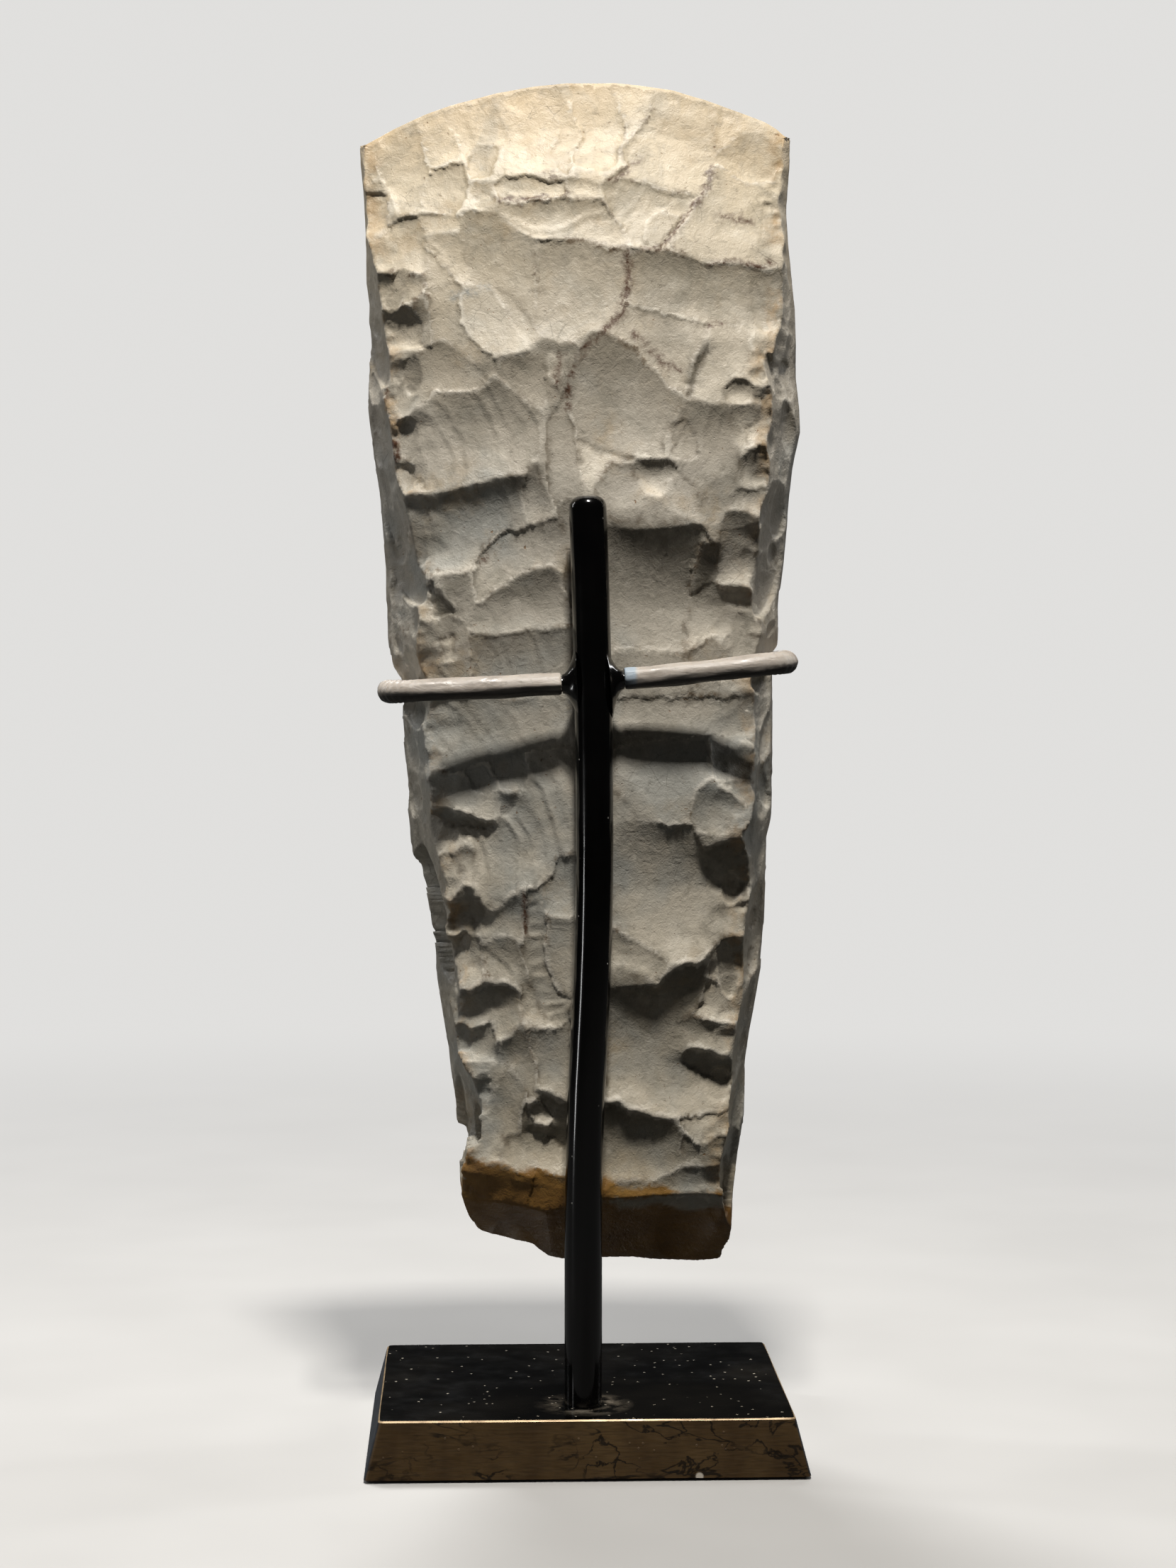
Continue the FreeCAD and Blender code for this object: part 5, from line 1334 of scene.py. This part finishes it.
dense = stone_mesh(surface)
work = bmesh.new()
work.from_mesh(dense)
bmesh.ops.remove_doubles(work, verts=work.verts, dist=0.004 * MM)
bmesh.ops.dissolve_degenerate(work, dist=0.002 * MM, edges=work.edges)
bmesh.ops.triangulate(work, faces=work.faces)
bmesh.ops.recalc_face_normals(work, faces=work.faces)
open_edges = sum(1 for edge in work.edges if len(edge.link_faces) != 2)
work.to_mesh(dense)
work.free()
stone = bpy.data.objects.new("flint_stone", dense)
bpy.context.scene.collection.objects.link(stone)
count = len(dense.polygons)
thinner = stone.modifiers.new("thin_out", "DECIMATE")
thinner.ratio = TRIANGLES / count
evaluated = stone.evaluated_get(bpy.context.evaluated_depsgraph_get())
thinned = bpy.data.meshes.new_from_object(evaluated)
stone.modifiers.remove(thinner)
stone.data = thinned
thinned.name = "flint_stone"
thinned.shade_smooth()
print("stone triangles", count, "thinned to", len(thinned.polygons), "open edges", open_edges)

# %% [markdown]
# Colour follows the scars. Ridges get a painted highlight and some iron stain, hollows and the
# steps between scars a painted shade, each scar's lightness under the lamp is painted in as light
# and shade, and every scar has a slightly different patina. The rays know all of that, so each
# mesh point takes it from its nearest ray.

# %% Marks for the colours
MARKS = ("ridge", "hollow", "patina", "rust", "smear", "seam", "lamp_shading", "rim", "bare")
coarse = surface[::2, ::2].reshape(-1, 3)
tree = KDTree(len(coarse))
for number, point in enumerate(coarse):
    tree.insert(point, number)
tree.balance()
places = np.empty(len(thinned.vertices) * 3)
thinned.vertices.foreach_get("co", places)
places = places.reshape(-1, 3) / MM
nearest = np.array([tree.find(point)[1] for point in places])
across, deep, level = np.moveaxis(surface, -1, 0)
marks = {name: 0 * rays.r for name in MARKS}
marks["ridge"] = np.exp(-np.clip(rays.second - rays.r, 0, 9) / 0.25)
marks["patina"] = rays.tint * 0.6
marks["bare"] = bare_below(across, level, 52.3, 0.11)
for face, sign in ((FRONT, -1), (BACK, 1)):
    off = np.abs(sign * deep - on_grid(face.height, across, level))
    share = np.clip(1.6 - off / 0.25, 0, 1)
    for name, grid in face.marks.items():
        found = on_grid(grid, across, level)
        marks[name] = marks[name] * (1 - share) + found * share
for name, values in marks.items():
    layer = thinned.attributes.new(name, "FLOAT", "POINT")
    layer.data.foreach_set("value", values[::2, ::2].reshape(-1)[nearest].astype(np.float32))
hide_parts("flint_axe")
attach(stone, "axe")

# %% [markdown]
# Flint lies dark and glassy in the ground, and weathers to a pale skin, its patina. Here the
# skin is cream by the cutting edge, greyer below, and gone at the butt, where the brown
# flint shows. It is matt with a faint sheen, and iron has stained ridges and a few lines.

# %% Patinated flint
def patinated_flint():
    """Weathered flint: a matt silica skin, broken by ridges, stains and specks of rust."""
    p = Paint("patinated_flint", noise_roughness=0.6)
    wander = p.maths("MULTIPLY_ADD", p.noise(38, 3.0, 0.55), 0.05, -0.025)
    height = p.maths("ADD", p.part(p.place, "Z"), wander)
    share = p.band(height, 0.036, 0.282)
    skin = p.ramp(share, [(0.0, "#A39780"), (0.2, "#BBB2A0"), (0.45, "#B6AFA1"), (0.66, "#B3AC9F"),
                          (0.80, "#B5AB99"), (0.90, "#CDBFA5"), (1.0, "#CBB48F")])
    mark = {name: add(p.tree, "ShaderNodeAttribute", {"attribute_name": name}).outputs["Fac"]
            for name in MARKS}
    specks = p.band(p.noise(0.9, 2, 0.5), 0.70, 0.76)
    cell_edge = p.cells(7, "DISTANCE_TO_EDGE")["Distance"]
    edge_share = p.band(share, 0.85, 0.70, 0.35, 1.0)
    coats = [
        # each scar's own patina, a little lighter or darker than the next
        ("#EDE4D0", p.band(mark["patina"], 0.0, 1.0, 0.0, 0.16)),
        ("#7F7B6B", p.band(mark["patina"], 0.0, -1.0, 0.0, 0.20)),
        # painted shade darkens the parts of each scar that face down, and painted light lightens those that
        # face up
        ("#4E4738", p.band(mark["lamp_shading"], 0.0, -3.0, 0.0, 0.82)),
        ("#F5E9D2", p.band(mark["lamp_shading"], 0.2, 2.4, 0.0, 0.45)),
        # painted shade in the fine steps between scars, in patches
        ("#5A4D3A", p.product(p.product(mark["rim"], edge_share), p.band(p.noise(5), 0.38, 0.60, 0.0, 0.7))),
        # cloudy mottle from 24 mm down to 2 mm across, cool in some places and ochre in others
        ("#7F7B6E", p.band(p.noise(13, 6, 0.65, 0.8), 0.48, 0.68, 0.0, 0.5)),
        ("#EFE8D8", p.band(p.noise(6.5, 5), 0.52, 0.78, 0.0, 0.35)),
        ("#9DA19E", p.product(p.band(p.noise(24, 3), 0.50, 0.64, 0.0, 0.55), p.band(share, 0.86, 0.70))),
        ("#A8906A", p.product(p.band(p.noise(17, 3), 0.54, 0.68, 0.0, 0.4),
                              p.band(p.noise(3), 0.40, 0.60))),
        ("#5F594B", p.band(p.noise(1.8, 5, 0.68), 0.54, 0.78, 0.0, 0.48)),
        # painted shade in the deepest hollows
        ("#6B6250", p.band(mark["hollow"], 0.35, 1.0, 0.0, 0.25)),
        # ridges: a painted highlight makes most of them paler, and iron has stained some brown
        ("#F2EBDC", p.product(p.band(mark["ridge"], 0.35, 0.95, 0.0, 0.55), p.band(p.noise(11), 0.35, 0.60))),
        ("#5E4A2E", p.product(p.product(p.band(mark["ridge"], 0.10, 0.70),
                                        p.band(p.noise(16, 3), 0.52, 0.62)),
                              p.band(p.noise(1.4, 5), 0.40, 0.62, 0.0, 0.85))),
        # the long ridges are stained ochre in patches
        ("#A98654", p.product(mark["seam"], p.band(p.noise(7), 0.46, 0.60, 0.0, 0.6))),
        # rust specks about half a millimetre wide, and hairline cracks
        ("#7A5426", p.product(specks, p.band(p.noise(14, 2), 0.50, 0.60, 0.0, 0.8))),
        ("#4B4334", p.product(p.band(cell_edge, 0.012, 0.0), p.band(p.noise(12, 2), 0.60, 0.66, 0.0, 0.5))),
        # the lines of rust and the one grey smear
        ("#4B2B10", p.product(mark["rust"], p.band(p.noise(0.9, 5), 0.36, 0.52, 0.15, 1.0))),
        ("#7F8A90", p.product(mark["smear"], p.band(p.noise(1.0), 0.4, 0.6, 0.2, 0.7))),
        # bare brown flint at the butt, with painted light: lighter than the flint's own brown, as the butt
        # lies in shade
        (p.ramp(p.noise(10, 5), [(0.3, "#735225"), (0.5, "#8A6632"), (0.7, "#A07B42")]), mark["bare"]),
    ]
    for colour, amount in coats:
        skin = p.blend(skin, colour, amount)
    glassy = p.product(p.band(height, 0.045, 0.062, 0.36, 0.0), 0.5)
    rough = p.maths("SUBTRACT", p.band(p.noise(5), 0.35, 0.7, 0.60, 0.46), glassy)
    # relief of the skin: undulations of 1.6 mm, crumbs of 0.35 mm, and the specks
    undulating = p.bump(p.noise(1.6, 4, 0.6, 0.6), 0.28, 0.65)
    crumbly = p.bump(p.noise(0.35, 3), 0.09, 0.7, Normal=undulating)
    speckled = p.bump(specks, -0.10, 0.5, Normal=crumbly)
    return p.wire(Base_Color=skin, Roughness=rough, Normal=speckled, IOR=1.54)


stone.data.materials.clear()
stone.data.materials.append(patinated_flint())

# %% [markdown]
# Post, arms and brazed joints are one black finish: brushed-on gloss lacquer over metal. It
# is nearly a mirror, softened by faint brush drag and by specks of museum dust.

# %% Black lacquer
def black_lacquer():
    """Gloss black lacquer on brass: deep black, sharp highlights, settled dust."""
    p = Paint("black_gloss_lacquer")
    blotch = p.noise(9, 3.0)
    speck = p.crumbs(2.6, 0.085, 0.05, 0.66, 0.72)
    colour = p.blend(p.ramp(blotch, [(0.3, "#020202"), (0.7, "#060505")]), "#B9B7B0", speck)
    rough = p.maths("MAXIMUM", p.band(blotch, 0.3, 0.7, 0.10, 0.19), speck)
    brushed = p.bump(p.noise(1.6, stretch=(1.0, 1.0, 0.12)), 0.03, 0.35)
    dusty = p.bump(speck, 0.05, 0.6, Normal=brushed)
    return p.wire(Base_Color=colour, Roughness=rough, Normal=dusty, Coat_Weight=0.4, Coat_Roughness=0.06)


def finish_node(name, material):
    """Give every slot of a CAD node its material."""
    slots = nodes[name].data.materials
    if not slots:
        slots.append(material)
    for index in range(len(slots)):
        slots[index] = material


lacquer = black_lacquer()
for name in ("post", "arm_left", "arm_right", "braze_left", "braze_right"):
    finish_node(name, lacquer)

# %% [markdown]
# Soft plastic tubing pads the arms, so that metal never touches stone. It was pushed over
# the rods and round two bends each, which wrinkled it. A swept tube with rings of points
# shows that best: the wrinkles are rings that tighten inside the bends, over slow dents.

# %% Sleeve paths
POST_X, POST_Y = 1.57, -21.52
POST_FOOT_X = -0.4
ARM_LEVEL = 158.70
SLEEVE_RADIUS = 2.35
SLEEVE_START = 6.4
BEND = 4.6
HOOK = 13.0
ROD_TIP = 0.5
CLEARANCE = 0.3
BACK_DEPTH = 17.4 + CLEARANCE + SLEEVE_RADIUS - POST_Y
# sign, tilt in degrees, splay, waist of the flint
ARMS = {"left": (-1, 180 - 2.5, 1.4, 37.5), "right": (1, -5.9, 4.0, 40.2)}
AROUND = 48
SPACING = 0.12


def arm_line(side):
    """Points of the sleeve's centre line in the arm's plane, with each one's bend, in mm."""
    sign, tilt, splay, waist = ARMS[side]
    across = waist + CLEARANCE + SLEEVE_RADIUS - sign * POST_X
    reach = across / abs(math.cos(math.radians(tilt))) + splay / 2
    near = reach - splay
    corners = np.array([(SLEEVE_START, 0), (near, 0), (reach, BACK_DEPTH),
                        (reach - HOOK + ROD_TIP, BACK_DEPTH)], float)
    path, turned = [corners[0]], [0.0]

    def straight_to(goal):
        origin = path[-1]
        run = int(np.linalg.norm(goal - origin) / SPACING)
        for step in range(1, run + 1):
            path.append(origin + (goal - origin) * step / run)
            turned.append(0.0)

    for a, b, c in zip(corners, corners[1:], corners[2:]):
        into, out = (b - a) / np.linalg.norm(b - a), (c - b) / np.linalg.norm(c - b)
        angle = math.acos(float(np.clip(into @ out, -1, 1)))
        first = b - into * (BEND * math.tan(angle / 2))
        left = np.array([-into[1], into[0]])
        centre = first + left * BEND
        straight_to(first)
        arc = int(BEND * angle / SPACING)
        for step in range(1, arc + 1):
            swing = angle * step / arc
            path.append(centre + BEND * (-left * math.cos(swing) + into * math.sin(swing)))
            turned.append(1.0)
    straight_to(corners[3])
    return np.array(path), np.array(turned)


def sleeve_radius(distance, soft, seed):
    """Radius of the tubing at each place along it and round it, with dents and wrinkles."""
    s, t = np.meshgrid(distance, np.linspace(0, 2 * math.pi, AROUND, endpoint=False), indexing="ij")
    ring = np.stack([s, np.cos(t) * 3, np.sin(t) * 3], -1)
    dents = lattice_noise(ring * np.array([0.55, 1, 1]), 3.0, seed) * 0.15
    folds = lattice_noise(ring * np.array([0.25, 1.6, 1.6]), 1.6, seed + 1) * 0.09
    phase = 2 * math.pi * s / 1.25 + 1.5 * lattice_noise(ring, 4.0, seed + 2)
    rings = soft[:, None] * (0.05 + 0.22 * np.clip(np.cos(t), 0, 1)) * np.sin(phase)
    end = np.minimum(distance, distance[-1] - distance)
    return SLEEVE_RADIUS - 0.10 + dents + folds + rings - (0.35 * np.exp(-(end / 0.18)))[:, None], t


def wrinkled_sleeve(side, seed):
    """A tube round the arm's line, square-cut at both ends, wrinkled where it bends."""
    tilt = math.radians(ARMS[side][1])
    line, bend = arm_line(side)
    soft = np.convolve(bend, np.ones(45) / 45, "same")
    tangent = np.gradient(line, axis=0)
    tangent /= np.linalg.norm(tangent, axis=1)[:, None]
    inner = np.stack([-tangent[:, 1], tangent[:, 0]], 1)
    distance = np.concatenate([[0], np.cumsum(np.linalg.norm(np.diff(line, axis=0), axis=1))])
    radius, t = sleeve_radius(distance, soft, seed)
    flat = line[:, None, :] + inner[:, None, :] * (radius * np.cos(t))[..., None]
    x, y, z = flat[..., 0], flat[..., 1], -radius * np.sin(t)
    # the arm's plane holds y; the tilt turns x and z about y at the post
    placed = np.stack([POST_X + x * math.cos(tilt) + z * math.sin(tilt), POST_Y + y,
                       ARM_LEVEL - x * math.sin(tilt) + z * math.cos(tilt)], -1)
    number = np.arange(len(line) * AROUND).reshape(-1, AROUND)
    beside = np.roll(number, -1, 1)
    faces = np.stack([number[:-1], number[1:], beside[1:], beside[:-1]], -1).reshape(-1, 4).tolist()
    # each end turns in, so that the wall's thickness shows round the rod
    points = list(placed.reshape(-1, 3))
    for row in (0, -1):
        middle = placed[row].mean(0)
        outer = list(number[row])
        for share in (0.86, 0.70):
            inner_loop = list(range(len(points), len(points) + AROUND))
            points.extend(middle + (placed[row] - middle) * share)
            for i in range(AROUND):
                j = (i + 1) % AROUND
                faces.append([outer[i], outer[j], inner_loop[j], inner_loop[i]])
            outer = inner_loop
        faces.append(outer)
    sleeve = mesh_object("padded_sleeve_" + side, np.array(points) * MM, faces)
    work = bmesh.new()
    work.from_mesh(sleeve.data)
    bmesh.ops.recalc_face_normals(work, faces=work.faces)
    work.to_mesh(sleeve.data)
    work.free()
    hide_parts("sleeve_" + side)
    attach(sleeve, "stand")
    print(sleeve.name, len(sleeve.data.polygons), "faces, length", round(float(distance[-1]), 1), "mm")
    return sleeve


# %% [markdown]
# The tubing is a translucent rubbery plastic that has yellowed a little: an even beige with
# greyer worn patches, a soft gloss, and a bluish scratched band beside the post on the right.
# Its underside is darkened with painted shade.

# %% Tubing
def rubbery_tubing():
    """Extruded soft PVC: waxy, slightly glossy, light gets a little way in."""
    p = Paint("soft_pvc_tubing")
    cloud = p.noise(6)
    colour = p.ramp(cloud, [(0.3, "#A39A90"), (0.5, "#B4ABA1"), (0.72, "#C3BCB2")])
    colour = p.blend(colour, "#8F8981", p.band(p.noise(0.8), 0.60, 0.74, 0.0, 0.6))
    # the right sleeve's first millimetres: a bluish band, and a black ring before it
    out = p.part(p.place, "X")
    on_right = p.band(out, 0.0, 0.001)
    for far, near, tint in ((10.6, 9.9, "#A3B0BB"), (8.0, 7.8, "#0A0A0A")):
        colour = p.blend(colour, tint, p.product(p.band(out, far * MM, near * MM), on_right))
    # painted shade: the underside is darkened where it faces down
    colour = p.blend(colour, "#1E1C1A", p.band(p.way("Z"), -0.05, -0.50, 0.0, 0.92))
    creased = p.bump(p.noise(1.1, warp=0.8, stretch=(0.4, 1.0, 1.0)), 0.16, 0.8)
    return p.wire(Base_Color=colour, Roughness=p.band(cloud, 0.36, 0.50, 0.28, 0.50), Normal=creased,
                  Subsurface_Weight=0.15, Subsurface_Radius=(0.9 * MM, 0.7 * MM, 0.5 * MM),
                  Subsurface_Scale=1.0)


tubing = rubbery_tubing()
for side, seed in (("left", 21), ("right", 34)):
    wrinkled_sleeve(side, seed).data.materials.append(tubing)

# %% [markdown]
# The plinth is a bronze block, brushed on its sloping sides. Its top is painted near-black as
# shade, and its end faces carry a painted grey-blue reflection. Its upper edge is worn to bright
# metal. A face's own direction tells which finish it takes.

# %% Patinated bronze plinth
PLINTH_TOP = 11.75
POST_FOOT = (POST_FOOT_X, POST_Y, PLINTH_TOP)
CHIP = (22.2, -37.3, 0.9)
BRUSHED = (0.15, 0.15, 1.6)


def patinated_bronze():
    """Brown patinated bronze: brushed bevels with fine veins, a painted grey-blue reflection on the ends, and
    a dusty gloss top painted near-black as shade.
    """
    p = Paint("patinated_bronze")
    up = p.way("Z")
    top = p.band(up, 0.90, 0.99)
    # brushing runs along each bevel; two nets of dark threads are the casting's veins
    brown = p.blend("#4A3822", "#634E31", p.band(p.noise(9, stretch=(1, 1, 0.5)), 0.35, 0.7))
    brown = p.blend(brown, "#35291A", p.band(p.noise(0.5, stretch=BRUSHED), 0.45, 0.75, 0.0, 0.6))
    for size, stretch in ((14, (0.6, 1.0, 1.6)), (8, (0.8, 1.0, 1.2))):
        off_middle = p.maths("SUBTRACT", p.noise(size, 5.0, warp=0.4, stretch=stretch), 0.5)
        thread = p.band(p.maths("ABSOLUTE", off_middle), 0.016, 0.006, 0.0, 0.9)
        brown = p.blend(brown, "#1B140C", p.product(thread, p.band(p.noise(17), 0.44, 0.52)))
    # painted reflection: the end faces take a grey-blue, standing for the cool light that they mirror
    painted_reflection = p.blend("#3B424B", "#2A2F36", p.band(p.noise(4, stretch=(1, 0.3, 1)), 0.4, 0.7))
    base = p.blend(brown, painted_reflection, p.band(p.maths("ABSOLUTE", p.way("X")), 0.6, 0.85))
    # the top: a painted near-black shade with dust over it: a ring swept round the foot of the post, crumbs,
    # and a faint haze
    from_post = p.away_from(POST_FOOT)
    ring = p.product(p.band(from_post, 4.2 * MM, 5.4 * MM), p.band(from_post, 10.5 * MM, 6.2 * MM))
    ring = p.product(ring, p.band(p.noise(3.2, 5), 0.42, 0.62, 0.0, 0.75))
    ring = p.product(ring, p.band(p.part(p.place, "X"), -0.008, 0.008, 0.45, 1.0))
    crumb = p.crumbs(2.2, 0.15, 0.09, 0.50, 0.56, 0.9)
    # painted shade: the top's near-black stands for the dark room that it mirrors
    shaded_top_and_dust = p.blend("#040404", "#0A0908", p.band(p.noise(14), 0.4, 0.7))
    shaded_top_and_dust = p.blend(shaded_top_and_dust, "#8B8172", ring)
    shaded_top_and_dust = p.blend(shaded_top_and_dust, "#A79F90", crumb)
    shaded_top_and_dust = p.blend(shaded_top_and_dust, "#6F675A", p.band(p.noise(20, 5), 0.45, 0.75, 0.0, 0.06))
    base = p.blend(base, shaded_top_and_dust, top)
    # the worn upper arris, and a chip in the lower front edge
    arris = p.product(p.band(up, 0.40, 0.55), p.band(up, 0.97, 0.88))
    base = p.blend(base, "#B49B78", p.product(arris, p.band(p.noise(2.5, 5), 0.30, 0.55, 0.35, 1.0)))
    base = p.blend(base, "#D8CFC0", p.band(p.away_from(CHIP), 0.9 * MM, 0.6 * MM))
    rough = add(p.tree, "ShaderNodeMix", {"data_type": "FLOAT"}, _0=top,
                _2=p.band(p.noise(0.6, stretch=BRUSHED), 0.3, 0.7, 0.34, 0.50),
                _3=p.band(p.noise(6, 5), 0.35, 0.7, 0.16, 0.32)).outputs[0]
    for dust in (ring, crumb):
        rough = p.maths("MAXIMUM", rough, p.product(dust, 0.9))
    brushed = p.bump(p.noise(0.4, stretch=(0.12, 0.12, 2.0)), 0.02, 0.5)
    gritty = p.bump(crumb, 0.08, 0.6, Normal=brushed)
    return p.wire(Base_Color=base, Roughness=rough, Normal=gritty, Metallic=0.35)


finish_node("plinth", patinated_bronze())

# %% [markdown]
# Underneath, where a visitor never looks, a black wool felt protects the showcase, and a
# socket screw with its washer pulls the post down into the plinth.

# %% Felt and steel
def wool_felt():
    """Pressed wool felt: matt, with matted fibres."""
    p = Paint("pressed_wool_felt")
    fibres = p.noise(0.9, 8.0, 0.8, 2.0)
    return p.wire(Base_Color=p.ramp(fibres, [(0.35, "#1B1C1D"), (0.7, "#3A3B3C")]), Roughness=0.95,
                  Sheen_Weight=0.4, Normal=p.bump(fibres, 0.25))


def turned_steel():
    """Zinc-plated steel, turned: fine rings about the screw's axis."""
    p = Paint("zinc_plated_steel")
    centred = add(p.tree, "ShaderNodeMapping", Vector=p.place,
                  Location=(-POST_FOOT_X * MM, -POST_Y * MM, 0)).outputs[0]
    rings = add(p.tree, "ShaderNodeTexWave", {"wave_type": "RINGS", "rings_direction": "Z"},
                Vector=centred, Scale=per_mm(3.0), Distortion=1.0, Detail=2.0).outputs["Fac"]
    cloud = p.noise(2.0)
    return p.wire(Base_Color=p.ramp(cloud, [(0.3, "#9DA0A3"), (0.7, "#C4C6C8")]), Metallic=1.0,
                  Roughness=p.band(cloud, 0.3, 0.7, 0.25, 0.42), Normal=p.bump(rings, 0.02, 0.4))


finish_node("base_felt", wool_felt())
steel = turned_steel()
finish_node("post_screw", steel)
finish_node("screw_washer", steel)
